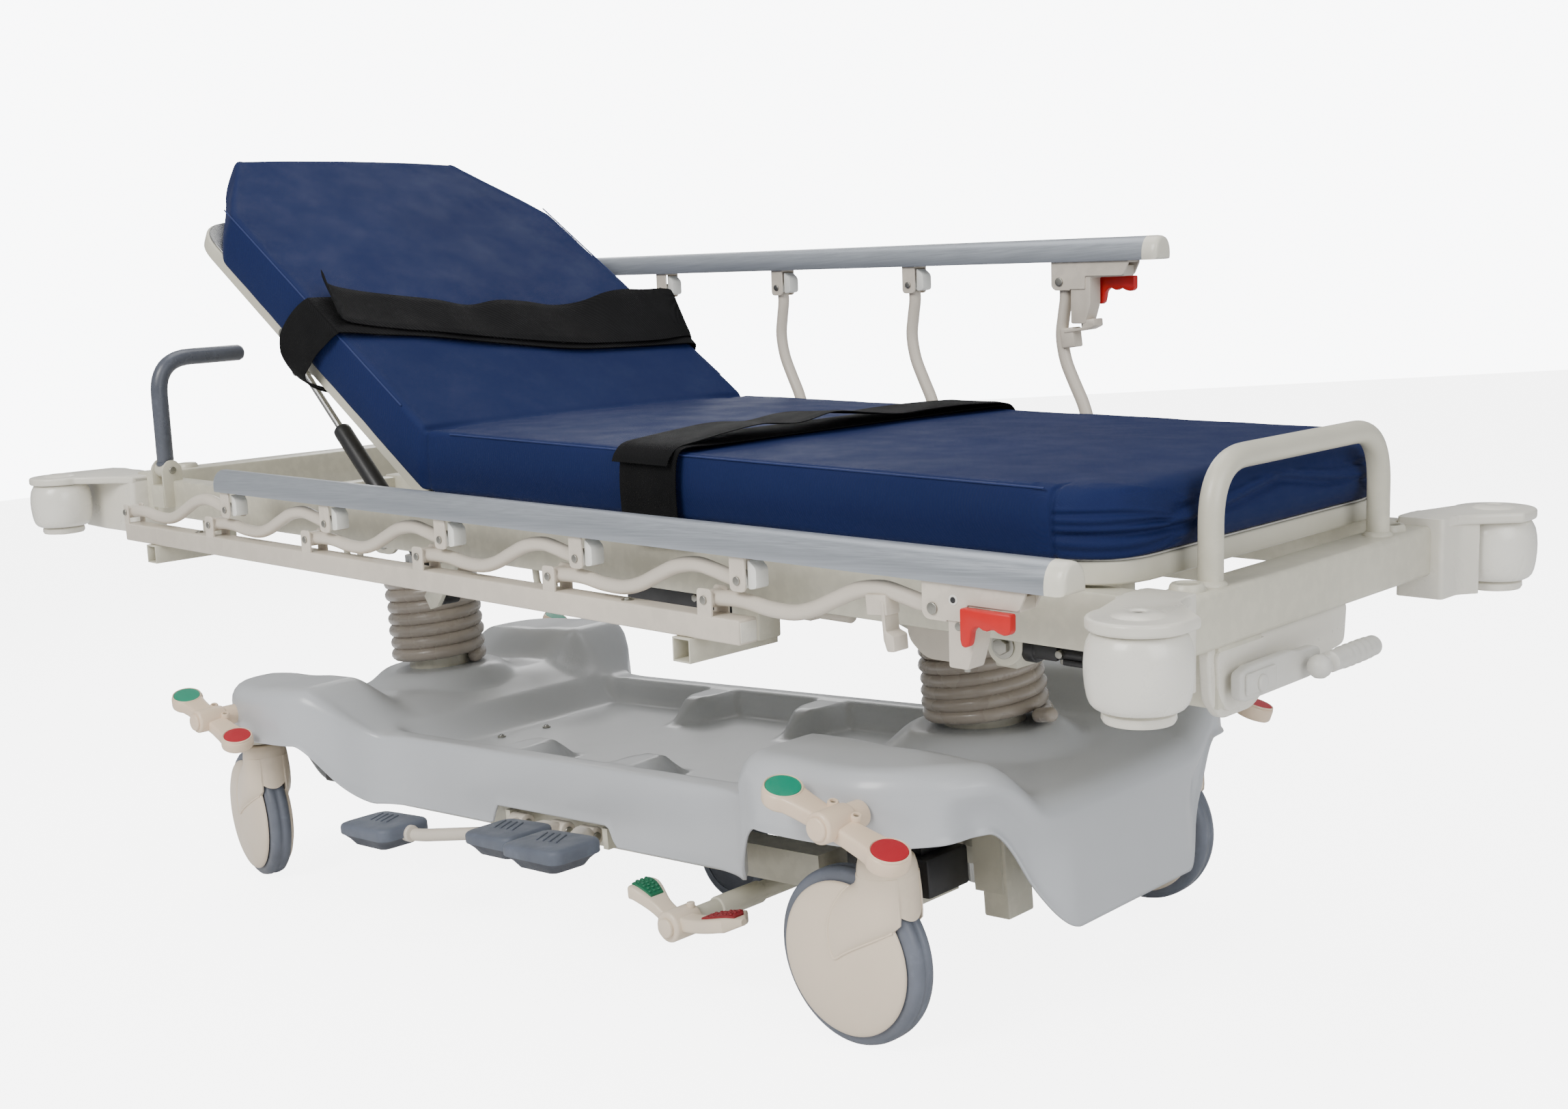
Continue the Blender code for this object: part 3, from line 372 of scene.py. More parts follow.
# ------------------------------------------------------------------ solids
class Part:
    """Collects closed solids into one mesh, then makes it an object."""

    def __init__(self):
        self.mesh = bmesh.new()
        self.extras = []             # materials after the main one

    def add(self, solid, material=None, place=LEVEL, bevel=0.0, segments=2):
        bmesh.ops.recalc_face_normals(solid, faces=solid.faces[:])
        if bevel:
            edges = [e for e in solid.edges
                     if len(e.link_faces) == 2 and e.calc_face_angle(0) > 0.6]
            bmesh.ops.bevel(solid, geom=edges, offset=bevel, segments=segments, profile=0.5,
                            affect='EDGES', clamp_overlap=True)
        bmesh.ops.transform(solid, matrix=place, verts=solid.verts)
        index = 0
        if material is not None:
            if material not in self.extras:
                self.extras.append(material)
            index = self.extras.index(material) + 1
        for face in solid.faces:
            face.material_index = index
        mesh = bpy.data.meshes.new("solid")
        solid.to_mesh(mesh)
        solid.free()
        self.mesh.from_mesh(mesh)
        bpy.data.meshes.remove(mesh)

    def box(self, x0, x1, y0, y1, z0, z1, bevel=0.002, material=None, segments=2):
        size = (abs(x1 - x0), abs(y1 - y0), abs(z1 - z0))
        centre = ((x0 + x1) / 2, (y0 + y1) / 2, (z0 + z1) / 2)
        solid = bmesh.new()
        bmesh.ops.create_cube(solid, size=1.0)
        bmesh.ops.scale(solid, vec=size, verts=solid.verts)
        bmesh.ops.translate(solid, vec=centre, verts=solid.verts)
        self.add(solid, material, LEVEL, min(bevel, 0.45 * min(size)), segments)

    def cyl(self, centre, axis, radius, height, sides=32, bevel=0.0, material=None,
            place=LEVEL, segments=3):
        solid = bmesh.new()
        bmesh.ops.create_cone(solid, cap_ends=True, segments=sides, radius1=radius,
                              radius2=radius, depth=height)
        aim = {'x': Z_TO_X, 'y': Z_TO_Y, 'z': LEVEL}[axis]
        bmesh.ops.transform(solid, matrix=at(*centre) @ aim, verts=solid.verts)
        self.add(solid, material, place, bevel, segments)

    def prism(self, outline, axis, low, high, bevel=0.0, segments=2, material=None,
              place=LEVEL):
        """Outline in the plane across axis, drawn out from low to high."""
        index = 'xyz'.index(axis)
        solid = bmesh.new()
        verts = []
        for point in outline:
            spot = list(point)
            spot.insert(index, low)
            verts.append(solid.verts.new(spot))
        grown = bmesh.ops.extrude_face_region(solid, geom=[solid.faces.new(verts)])
        shift = [0, 0, 0]
        shift[index] = high - low
        bmesh.ops.translate(solid, vec=shift, verts=[
            v for v in grown['geom'] if isinstance(v, bmesh.types.BMVert)])
        self.add(solid, material, place, bevel, segments)

    def plate(self, outline, radius, axis, low, high, bevel=0.0, segments=2, material=None,
              place=LEVEL, steps=6):
        """Prism with rounded corners."""
        self.prism(soften(outline, radius, steps), axis, low, high, bevel, segments,
                   material, place)

    def turned(self, profile, sides=40, material=None, place=LEVEL):
        """Turn (r, z) points about Z; unless both ends lie on the axis, the last joins the first."""
        solid = bmesh.new()
        closed = profile[0][0] > 1e-6 or profile[-1][0] > 1e-6
        rings = []
        for r, z in profile:
            if r < 1e-6:
                rings.append([solid.verts.new((0, 0, z))])
            else:
                angles = [2 * math.pi * i / sides for i in range(sides)]
                rings.append([solid.verts.new((r * math.cos(a), r * math.sin(a), z))
                              for a in angles])
        for k in range(len(rings) if closed else len(rings) - 1):
            low, high = rings[k], rings[(k + 1) % len(rings)]
            if len(low) == 1 and len(high) == 1:
                continue
            for i in range(sides):
                j = (i + 1) % sides
                if len(low) == 1:
                    solid.faces.new((low[0], high[j], high[i]))
                elif len(high) == 1:
                    solid.faces.new((low[i], low[j], high[0]))
                else:
                    solid.faces.new((low[i], low[j], high[j], high[i]))
        self.add(solid, material, place)

    def loft(self, rings, material=None, place=LEVEL):
        """Join equal rings of points and cap both ends."""
        solid = bmesh.new()
        rows = [[solid.verts.new(p) for p in ring] for ring in rings]
        count = len(rows[0])
        for low, high in zip(rows, rows[1:]):
            for i in range(count):
                j = (i + 1) % count
                solid.faces.new((low[i], low[j], high[j], high[i]))
        solid.faces.new(rows[0][::-1])
        solid.faces.new(rows[-1])
        self.add(solid, material, place)

    def tube(self, points, radius, sides=20, material=None, place=LEVEL, tip=0.0):
        """Round tube along a path; tip > 0 domes both ends by that length."""
        points = [Vector(p) for p in points]
        last = len(points) - 1
        dome = [(math.sin(rad(a)) * tip, math.cos(rad(a))) for a in (35, 60, 80)]
        angles = [2 * math.pi * k / sides for k in range(sides)]
        rings = []
        across = None
        for i, point in enumerate(points):
            along = (points[min(i + 1, last)] - points[max(i - 1, 0)]).normalized()
            if i == 0:
                across = along.orthogonal().normalized()
            across = (across - along * across.dot(along)).normalized()
            up = along.cross(across)
            slices = [(0.0, 1.0)]    # (offset along the path, share of the radius)
            if tip and i == 0:
                slices = [(-offset, share) for offset, share in dome[::-1]] + slices
            if tip and i == last:
                slices = slices + dome
            for offset, share in slices:
                rings.append([point + along * offset
                              + (across * math.cos(a) + up * math.sin(a)) * radius * share
                              for a in angles])
        self.loft(rings, material, place)

    def bolt(self, centre, axis, radius, height, place=LEVEL):
        """Hex head on a washer, standing out along axis by the signed height."""
        for rise, wide, tall, sides, bevel in ((0.15, radius * 1.5, 0.3, 28, 0.0003),
                                               (0.6, radius, 0.8, 6, abs(height) * 0.12)):
            spot = list(centre)
            spot['xyz'.index(axis)] += rise * height
            self.cyl(spot, axis, wide, abs(height) * tall, sides, bevel, ZINC, place)

    def pin(self, centre, axis, radius, height):
        """Domed pin head."""
        spot = list(centre)
        spot['xyz'.index(axis)] += height * 0.5
        self.cyl(spot, axis, radius, abs(height), 24, abs(height) * 0.45, ZINC, segments=4)

    def finish(self, name, material, body, slot, place=LEVEL, replaces=None, sharp=38):
        """Make the object, shaded with edges above sharp degrees, riding on its body."""
        bmesh.ops.transform(self.mesh, matrix=place, verts=self.mesh.verts)
        bmesh.ops.transform(self.mesh, matrix=SHARED, verts=self.mesh.verts)
        mesh = bpy.data.meshes.new(name)
        self.mesh.to_mesh(mesh)
        self.mesh.free()
        for face in mesh.polygons:
            face.use_smooth = True
        mesh.set_sharp_from_angle(angle=rad(sharp))
        item = add_object(name, mesh)
        for each in [material] + self.extras:
            mesh.materials.append(each)
        if body:
            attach(item, body)
        if replaces:
            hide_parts(replaces)
        return item


# ------------------------------------------------------------------ base cover
# (x, half width) of the cover in plan, head to foot
COVER_PLAN = [
    (-0.741, 0.150), (-0.738, 0.200), (-0.728, 0.238), (-0.712, 0.272), (-0.69, 0.303),
    (-0.65, 0.326), (-0.60, 0.333), (-0.54, 0.333), (-0.485, 0.325), (-0.435, 0.295),
    (-0.39, 0.256), (-0.34, 0.240), (-0.27, 0.2375), (-0.17, 0.237), (0.0, 0.237),
    (0.17, 0.237), (0.27, 0.2375), (0.34, 0.240), (0.39, 0.256), (0.435, 0.295),
    (0.485, 0.325), (0.54, 0.333), (0.60, 0.333), (0.65, 0.326), (0.69, 0.303),
    (0.722, 0.272), (0.745, 0.238), (0.755, 0.200), (0.758, 0.150)]


def humpness(x):
    """0 over the middle tray, 1 over the humps at the two ends."""
    return ease(0.37, 0.485, abs(x))


def edge_radius(x):
    return 0.007 + 0.020 * humpness(x)


def cover_top(x, y):
    """Height of the cover's upper face."""
    end_x, side_y = abs(x), abs(y)
    tray = (1 - ease(0.184, 0.212, side_y)) * (1 - ease(0.335, 0.405, end_x))
    middle = 0.247 - 0.036 * tray
    for ridge_x in (-0.112, 0.118):      # two ridges split the tray into three bays
        half = 0.014 + 0.040 * ease(0.095, 0.190, side_y)
        ridge = (1 - ease(0.42, 1.0, abs(x - ridge_x) / half)) * ease(0.088, 0.150, side_y)
        middle = max(middle, 0.211 + 0.0345 * ridge)
    # shoulders over the castors, lower valley round the column
    shoulder = 0.274 + 0.044 * ease(0.145, 0.222, side_y)
    shoulder += 0.004 * ease(0.60, 0.52, end_x)
    shoulder -= 0.016 * ease(0.640, 0.750, end_x) * ease(0.30, 0.1, side_y)
    end = humpness(x)
    z = middle * (1 - end) + shoulder * end
    boss = 1 - ease(0.084, 0.128, math.hypot(end_x - COLUMN_X, side_y))
    return z * (1 - boss) + 0.298 * boss


def skirt(x, y):
    """Height of the cover's lower edge."""
    end_x, side_y = abs(x), abs(y)
    z = 0.145 + 0.093 * ease(0.385, 0.487, end_x)
    if y < 0 and end_x < 0.30:
        z = max(z, 0.145 + 0.027 * ease(-0.128, -0.112, x) * ease(0.138, 0.122, x))
    if end_x > 0.70:
        lobe = 0.108 + 0.130 * ease(0.112, 0.232, side_y)
        z = lerp(z, lobe, ease(0.712, 0.732, end_x))
    return z


def rolled(start, normal, angle):
    """Point on the rounded upper edge."""
    radius = edge_radius(start.x)
    drop = Vector((0, 0, -radius * (1 - math.cos(rad(angle)))))
    return start + normal * radius * math.sin(rad(angle)) + drop


def dropped(start, normal, t):
    """Point on the side wall, t from its top to its lower edge."""
    radius = edge_radius(start.x)
    wall = start + normal * radius
    flare = 0.0015 * t + 0.0030 * ease(0.88, 1.0, t)
    # the end face draws in a little below the shoulder, then flares
    side_y = abs(wall.y)
    pinch = (0.019 * ease(0.0, 0.42, t) * ease(0.685, 0.735, abs(wall.x))
             * ease(0.11, 0.175, side_y) * (1 - ease(0.245, 0.285, side_y)))
    point = wall + normal * (flare - pinch)
    point.z = lerp(start.z - radius, skirt(wall.x, wall.y), t)
    return point


def build_cover():
    shell = bmesh.new()
    coarse = spline([(x, half, 0) for x, half in COVER_PLAN], 6)
    plan = [coarse[0]]
    for point in coarse[1:]:
        count = max(1, int(math.ceil((point - plan[-1]).length / 0.0085)))
        start = plan[-1]
        plan += [start.lerp(point, (i + 1) / count) for i in range(count)]
    across = 64
    last = len(plan) - 1
    top = []
    for i, point in enumerate(plan):
        before, after = plan[max(i - 1, 0)], plan[min(i + 1, last)]
        along = Vector((after.x - before.x, after.y - before.y)).normalized()
        outward = Vector((-along.y, along.x))        # for the +Y side
        if i == 0:
            outward = Vector((-1, 0.0))
        if i == last:
            outward = Vector((1, 0.0))
        radius = edge_radius(point.x)
        x, half = point.x - outward.x * radius, max(point.y - outward.y * radius, 0.05)
        row = []
        for j in range(across + 1):
            share = -1 + 2 * j / across
            share = math.copysign(abs(share) ** 0.8, share) if abs(share) > 1e-9 else 0.0
            row.append(shell.verts.new((x, half * share, cover_top(x, half * share))))
        top.append(row)
    for low, high in zip(top, top[1:]):
        for j in range(across):
            shell.faces.new((low[j], high[j], high[j + 1], low[j + 1]))
    rim = ([row[0] for row in top] + top[-1][1:] + [row[-1] for row in top[-2::-1]]
           + top[0][-2:0:-1])
    count = len(rim)
    normals = []
    for i in range(count):
        along = rim[(i + 1) % count].co - rim[i - 1].co
        normals.append(Vector((along.y, -along.x, 0)).normalized())
    for _ in range(3):
        normals = [(normals[i - 1] + normals[i] * 2 + normals[(i + 1) % count]).normalized()
                   for i in range(count)]
    starts = list(zip([v.co.copy() for v in rim], normals))
    rings = [[rolled(*start, angle) for start in starts] for angle in (18, 36, 54, 72, 90)]
    rings += [[dropped(*start, t) for start in starts]
              for t in (0.12, 0.28, 0.45, 0.62, 0.78, 0.90, 0.965, 1.0)]
    above = rim
    for points in rings:
        ring = [shell.verts.new(p) for p in points]
        for i in range(count):
            j = (i + 1) % count
            shell.faces.new((above[i], ring[i], ring[j], above[j]))
        above = ring
    # the open shell must face up, so that it thickens inward
    bmesh.ops.recalc_face_normals(shell, faces=shell.faces[:])
    if sum(f.normal.z for f in shell.faces if abs(f.normal.z) > 0.9) < 0:
        bmesh.ops.reverse_faces(shell, faces=shell.faces[:])
    mesh = bpy.data.meshes.new("base_cover_shell")
    shell.to_mesh(mesh)
    shell.free()
    mesh.transform(SHARED)
    item = add_object("base_cover_shell", mesh)
    solidify = item.modifiers.new("shell", 'SOLIDIFY')
    solidify.thickness = 0.0035
    solidify.offset = -1
    solidify.use_even_offset = False
    for face in mesh.polygons:
        face.use_smooth = True
    mesh.materials.append(COVER)
    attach(item, "base")
    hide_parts("base_cover")


build_cover()

# cross-head screws in the tray
part = Part()
for x, y in ((0.318, -0.059), (-0.304, 0.006), (0.300, 0.070), (-0.318, -0.070)):
    z = cover_top(x, y)
    part.cyl((x, y, z + 0.0012), 'z', 0.0062, 0.0024, 24, 0.0006, ZINC)
    part.cyl((x, y, z + 0.003), 'z', 0.0042, 0.0026, 24, 0.001, STEEL)
    # each cross recess is a thin dark cross on the head: painted shade for the recess
    for half_x, half_y in ((0.0032, 0.0006), (0.0006, 0.0032)):
        part.box(x - half_x, x + half_x, y - half_y, y + half_y, z + 0.0038, z + 0.0045,
                 0.0001, HOLE_SHADE)
part.finish("tray_screws", ZINC, "base", "bright_steel")

# posts and swivel seats under the cover
part = Part()
for end in SIDES:
    for side in SIDES:
        part.box(end * 0.632, end * 0.668, side * 0.07, side * 0.118, 0.1, 0.236, 0.003)
        part.box(end * 0.6, end * 0.632, side * 0.078, side * 0.11, 0.176, 0.232, 0.003)
        part.cyl((end * SWIVEL_X, side * SWIVEL_Y, 0.23), 'z', 0.0285, 0.012, 40, 0.002)
        part.box(end * 0.6, end * 0.682, side * 0.255, side * 0.318, 0.2365, 0.242, 0.001)
part.box(0.47, 0.6, -0.215, -0.12, 0.128, 0.136, 0.001)
part.finish("chassis_posts", FRAME, "base", "frame_paint")

# pump blocks beside the columns
part = Part()
for end in (1, -1):
    part.box(end * 0.5, end * 0.622, -0.2, -0.126, 0.14, 0.186, 0.004)
    part.box(end * 0.515, end * 0.607, -0.19, -0.136, 0.186, 0.205, 0.003)
    for x in (0.52, 0.545, 0.577, 0.602):
        part.cyl((end * x, -0.203, 0.163), 'y', 0.0045, 0.008, 6, 0.0005, ZINC)
    part.tube(spline([(end * 0.56, -0.165, 0.2), (end * 0.575, -0.175, 0.222),
                      (end * 0.6, -0.185, 0.222), (end * 0.615, -0.19, 0.2)], 5),
              0.006, 14, ZINC)
    part.cyl((end * 0.6, -0.2, 0.214), 'y', 0.01, 0.012, 6, 0.001, ZINC)
part.finish("pump_blocks", BLACK, "base", "black_metal")


# ------------------------------------------------------------------ coiled column sleeves
def coil(end, x, top, turns, coil_r, hose_r, phase, tail):
    """Coiled hose round a column; tail = 1 loosens it and adds a free lower end."""
    points = []
    count = int(turns * 30)
    for i in range(count + 1):
        t = i / count
        angle = 2 * math.pi * turns * t + phase
        z = COIL_Z + hose_r + (top - COIL_Z - 2 * hose_r) * t
        wobble = wander(t * 7.0, phase, 0.3)
        low = (1 - t) ** 2
        lean = (tail * (0.0022 + 0.0030 * math.sin(math.pi * t)) * math.cos(angle - 0.77)
                * ease(0, 0.08, t) * ease(1.0, 0.9, t))
        radius = coil_r + 0.0016 * wobble + tail * 0.0040 * low
        points.append((x + radius * math.cos(angle) + tail * 0.004 * low,
                       radius * math.sin(angle) + tail * 0.003 * low,
                       z + lean + 0.0008 * wobble))
    if tail:
        first = Vector(points[0])
        along = Vector((-math.sin(phase), math.cos(phase), 0))
        lead = [first - along * back + Vector((out, 0, up))
                for back, out, up in ((0.06, 0.040, 0.016), (0.045, 0.018, 0.010),
                                      (0.020, 0.004, 0.003))]
        points = spline(lead + [first], 5)[:-1] + points
    part = Part()
    part.tube(points, hose_r, 14, tip=hose_r * 0.6)
    item = part.finish("column_coil_" + end, COIL, None, "sleeve_plastic",
                       replaces="column_sleeve_" + end)
    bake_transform(item)


coil("head", -COLUMN_X, top=0.468, turns=7.6, coil_r=0.0650, hose_r=0.0112, phase=0.4, tail=0.0)
coil("foot", COLUMN_X, top=0.402, turns=5.85, coil_r=0.0660, hose_r=0.0086, phase=0.25, tail=1.0)

part = Part()
for x, top in ((-COLUMN_X, 0.400), (COLUMN_X, 0.375)):
    part.turned([(0.0405, 0.29), (0.0495, 0.29), (0.0495, top + 0.0005), (0.0475, top + 0.003),
                 (0.0425, top + 0.003), (0.0405, top + 0.001)], 48, place=at(x, 0, 0))
part.finish("column_collars", FRAME, "base", "frame_paint")

# ------------------------------------------------------------------ castors
# key: end, side, swivel angle in degrees
CASTORS = {"hn": (-1, -1, -12), "hf": (-1, 1, 6), "fn": (1, -1, 0), "ff": (1, 1, 0)}
# (radius, distance from the wheel's middle) of the domed side cover
DOME = [(0.0, 0.0325), (0.015, 0.0323), (0.035, 0.0313), (0.055, 0.0293), (0.07, 0.0268),
        (0.08, 0.0243), (0.085, 0.0222), (0.0868, 0.02)]
# height, rear edge, front edge, crest position, crest reach, edge sharpness
NECK = [
    (0.201, -0.0292, 0.0292, 0.0, 0.0338, 0.72), (0.194, -0.0296, 0.0294, 0.0, 0.0342, 0.72),
    (0.189, -0.0325, 0.0296, -0.0005, 0.0346, 0.7),
    (0.185, -0.0385, 0.0297, -0.001, 0.0349, 0.68),
    (0.178, -0.0455, 0.0298, -0.003, 0.0354, 0.66),
    (0.168, -0.053, 0.0298, -0.006, 0.036, 0.66), (0.158, -0.059, 0.0296, -0.01, 0.0365, 0.7),
    (0.15, -0.0625, 0.0285, -0.015, 0.0368, 0.75), (0.142, -0.0648, 0.019, -0.021, 0.037, 0.82),
    (0.134, -0.0658, 0.002, -0.029, 0.037, 0.88),
    (0.126, -0.0655, -0.015, -0.037, 0.0366, 0.95),
    (0.118, -0.0643, -0.032, -0.0445, 0.0358, 1.0),
    (0.111, -0.0622, -0.045, -0.051, 0.0348, 1.0),
    (0.106, -0.0602, -0.053, -0.056, 0.0338, 1.0),
    (0.1045, -0.0592, -0.0558, -0.0574, 0.0332, 1.0)]
# one half of the tyre's section: (radius, distance from the wheel's middle)
TYRE_HALF = [(0.06, 0.015), (0.082, 0.0158), (0.0905, 0.016), (0.095, 0.015), (0.0985, 0.012),
             (0.0997, 0.008), (0.1, 0.0035), (0.0994, 0.0028)]
COVER_Y = 0.0172                     # inner face of neck and side cover
CUP_R = 0.0338


def mirrored(half):
    """Profile followed by its mirror image below z = 0."""
    return half + [(r, -z) for r, z in half[::-1]]


def dome_y(x, z):
    """Reach of the side cover at x, z from the swivel."""
    r = math.hypot(x + TRAIL, z - WHEEL_R)
    for (r0, y0), (r1, y1) in zip(DOME, DOME[1:]):
        if r <= r1:
            return lerp(y0, y1, (r - r0) / (r1 - r0))
    return 0.019


def neck_ring(side, z, rear, front, crest_x, crest_y, power):
    rear_y = COVER_Y if z > 0.186 else dome_y(rear, z) + 0.0006
    front_y = COVER_Y if z > 0.149 else dome_y(front, z) + 0.0006
    crest = (crest_x - rear) / (front - rear)
    ring = []
    for i in range(25):
        u = 0.5 - 0.5 * math.cos(math.pi * i / 24)
        off = (crest - u) / crest if u < crest else (u - crest) / (1 - crest)
        base = lerp(rear_y, front_y, u)
        x = lerp(rear, front, u)
        y = base + (crest_y - base) * max(0.0, 1 - off * off) ** power
        if z < 0.184:
            y = max(y, min(dome_y(x, z) + 0.0005, crest_y))
        ring.append((x, side * y, z))
    return ring + [(front, side * COVER_Y, z), (rear, side * COVER_Y, z)]


def castor_housing(key, place):
    part = Part()
    # swivel cup and the crown that closes over the tyre
    part.turned([(0, 0.2195), (0.0285, 0.2195), (0.0305, 0.2175), (0.0326, 0.21),
                 (0.0336, 0.203), (CUP_R, 0.1985), (0, 0.1985)], 48)
    rings = []
    for k in range(11):
        y = -0.0175 + 0.035 * k / 10
        half = math.sqrt(CUP_R ** 2 - y ** 2)
        xs = [(-half + 2 * half * i / 14) for i in range(15)]
        rings.append([(x, y, WHEEL_R + math.sqrt(0.1028 ** 2 - (x + TRAIL) ** 2)) for x in xs]
                     + [(half, y, 0.2012), (0, y, 0.2014), (-half, y, 0.2012)])
    part.loft(rings)
    for side in SIDES:
        part.turned(DOME + [(0.0868, 0.018), (0.085, 0.017), (0.0, 0.017)], 80,
                    place=at(-TRAIL, 0, WHEEL_R) @ turn(-90 * side, 'X'))
        # neck sweeping down into a teardrop on the side cover
        part.loft([neck_ring(side, *row) for row in NECK])
        lip = [(row[1], row[0]) for row in NECK if row[0] < 0.187]
        lip += [(row[2], row[0]) for row in NECK[::-1] if row[0] < 0.145]
        part.tube(spline([(x, side * (dome_y(x, z) + 0.0004), z) for x, z in lip], 3),
                  0.0016, 10, tip=0.001)
    part.cyl((-TRAIL, 0, WHEEL_R), 'y', 0.012, 0.05, 32)
    part.finish("castor_housing_" + key, IVORY, "castor_" + key, "ivory_plastic", place,
                "castor_fork_" + key, 50)


def castor_tyre(key, place):
    part = Part()
    axle = at(-TRAIL, 0, WHEEL_R) @ Z_TO_Y
    part.turned(mirrored(TYRE_HALF), 96, TYRE, axle)
    part.turned(mirrored([(0.0135, 0.014), (0.0608, 0.014)])[:2]
                + [(0.0608, -0.014), (0.0135, -0.014)], 48, IVORY, axle)
    part.finish("castor_tyre_" + key, TYRE, "wheel_" + key, "tyre_grey", place,
                "castor_wheel_" + key, 50)


for key, (end, side, yaw) in CASTORS.items():
    place = at(end * SWIVEL_X, side * SWIVEL_Y, 0) @ turn(yaw, 'Z')
    castor_housing(key, place)
    castor_tyre(key, place)


# ------------------------------------------------------------------ brake pedals
def pad_outline(centre_x, radius):
    """Two round pads joined through a slim waist, seen from above."""
    round_end = []
    for i in range(15):
        angle = rad(180 - i * 130 / 14)
        round_end.append((-centre_x + radius * math.cos(angle), radius * math.sin(angle)))
    waist = [(-0.046, 0.0162), (-0.024, 0.0146), (0.024, 0.0146), (0.046, 0.0162)]
    upper = round_end + waist + [(-x, y) for x, y in round_end[::-1]]
    return upper + [(x, -y) for x, y in upper[::-1][1:-1]]


for key, (end, side, _) in CASTORS.items():
    pivot = at(end * 0.6445, side * 0.367, 0.275) @ turn(19.6, 'Y')
    pad = pivot @ turn(-side * 9, 'X')
    part = Part()
    part.prism(pad_outline(0.0745, 0.0236), 'z', -0.013, 0.0065, 0.0045, 3, PEDAL, pad)
    # y, radius, length, sides, bevel, material of the pivot's stages
    for y, *stage in ((0.004, 0.0175, 0.046, 40, 0.004, PEDAL),
                      (0.028, 0.013, 0.006, 40, 0.0025, PEDAL),
                      (-0.028, 0.015, 0.024, 32, 0.001, PEDAL),
                      (-0.038, 0.0095, 0.012, 24, 0.0, ZINC)):
        part.cyl((0, side * y, 0), 'y', *stage, pivot)
    for way in SIDES:
        part.turned([(0.0026, 0.001), (0.0062, 0.0), (0.0062, 0.0065), (0.0052, 0.0078),
                     (0.0036, 0.0078), (0.003, 0.006)], 28, PEDAL,
                    pad @ at(way * 0.0165, -side * 0.014, 0.0045))
        part.cyl((way * 0.0165, -side * 0.014, 0.0078), 'z', 0.0032, 0.005, 6, 0.0004, ZINC, pad)
        # green disc on the head side of each pedal, red on the foot side
        spot = pad @ at(way * 0.0755, 0, 0)
        part.turned([(0.0, 0.0062), (0.0, 0.008), (0.014, 0.0079), (0.019, 0.0074),
                     (0.0196, 0.0062)], 48, DISC_GREEN if way < 0 else DISC_RED, spot)
        part.turned([(0.0198, 0.0058), (0.0198, 0.007), (0.0205, 0.0077), (0.0215, 0.0073),
                     (0.022, 0.0058)], 48, PEDAL, spot)
    part.finish("brake_lever_" + key, PEDAL, "brake_" + key, "ivory_plastic",
                replaces="brake_pedal_" + key, sharp=45)

# ------------------------------------------------------------------ pump pedals
PUMP_Y, PUMP_Z = -0.230, 0.150       # pivot of the arms
PEDAL_HALF_Y = 0.040
# (height, share of plan size, corner radius) below; (height, share) above
PEDAL_UNDER = ((-0.0215, 0.60, 0.010), (-0.0205, 0.66, 0.012), (-0.012, 0.80, 0.016),
               (-0.0045, 0.965, 0.018))
PEDAL_TOP = ((-0.0048, 0.985), (-0.0035, 1.0), (0.006, 1.0), (0.0085, 0.985), (0.0105, 0.95),
             (0.0118, 0.88), (0.0128, 0.70), (0.0134, 0.40), (0.0136, 0.12))


def pump_pedal(pump, x, y, z, half_x, pivot_x):
    part = Part()
    rings = []
    for rise, share, radius in PEDAL_UNDER:
        wide, deep = half_x * share, PEDAL_HALF_Y * share
        outline = soften([(-wide - 0.002, -deep), (wide - 0.002, -deep), (wide, deep),
                          (-wide, deep)], radius)
        rings.append([(x + dx, y + dy, z + rise) for dx, dy in outline])
    # the tapered underside takes the darker rubber copy: painted shade
    part.loft(rings, SLATE_PAINTED_SHADE)
    rings = []
    for rise, share in PEDAL_TOP:
        wide, deep = half_x * share, PEDAL_HALF_Y * share
        outline = soften(rectangle(-wide, wide, -deep, deep), 0.018 * share)
        rings.append([(x + dx, y + dy, z + rise + (0.0018 * (dx / half_x) if rise > 0 else 0))
                      for dx, dy in outline])
    part.loft(rings, SLATE)
    for i in range(4):               # slanting ribs
        rib = []
        for j in range(9):
            t = j / 8
            dx, dy = -0.030 + 0.0125 * i + 0.017 * t, 0.019 - 0.030 * t
            rim = max(abs(dx) / half_x, abs(dy) / PEDAL_HALF_Y)
            rise = 0.0136 - 0.0022 * max(0.0, rim - 0.25) ** 1.5 + 0.0018 * dx / half_x + 0.0002
            rib.append((x + dx, y + dy, z + rise))
        part.tube(rib, 0.0014, 10, SLATE, tip=0.0014)
    if pump == "lift":
        edge = x + half_x
        part.tube(bent([(edge - 0.012, y + 0.002, z - 0.002), (edge + 0.014, y + 0.012, z - 0.004),
                        (pivot_x + 0.012, y + 0.052, PUMP_Z + 0.002),
                        (pivot_x + 0.004, PUMP_Y, PUMP_Z)], 0.02, 6), 0.0088, 20, BAR)
        part.cyl((edge - 0.002, y + 0.004, z - 0.001), 'x', 0.0115, 0.014, 28, 0.002, BAR)
    else:
        part.tube([(x, y + 0.03, z), ((x + pivot_x) / 2, (y + PUMP_Y) / 2 + 0.015, z - 0.004),
                   (pivot_x, PUMP_Y, PUMP_Z)], 0.0095, 20, BAR)
    part.cyl((pivot_x, PUMP_Y, PUMP_Z), 'x', 0.0128, 0.03, 32, 0.002, BAR)
    part.pin((pivot_x + 0.015, PUMP_Y, PUMP_Z), 'x', 0.0062, 0.003)
    part.finish("foot_pump_" + pump, SLATE, "pump_" + pump, "pedal_rubber",
                replaces="pump_pedal_" + pump, sharp=40)


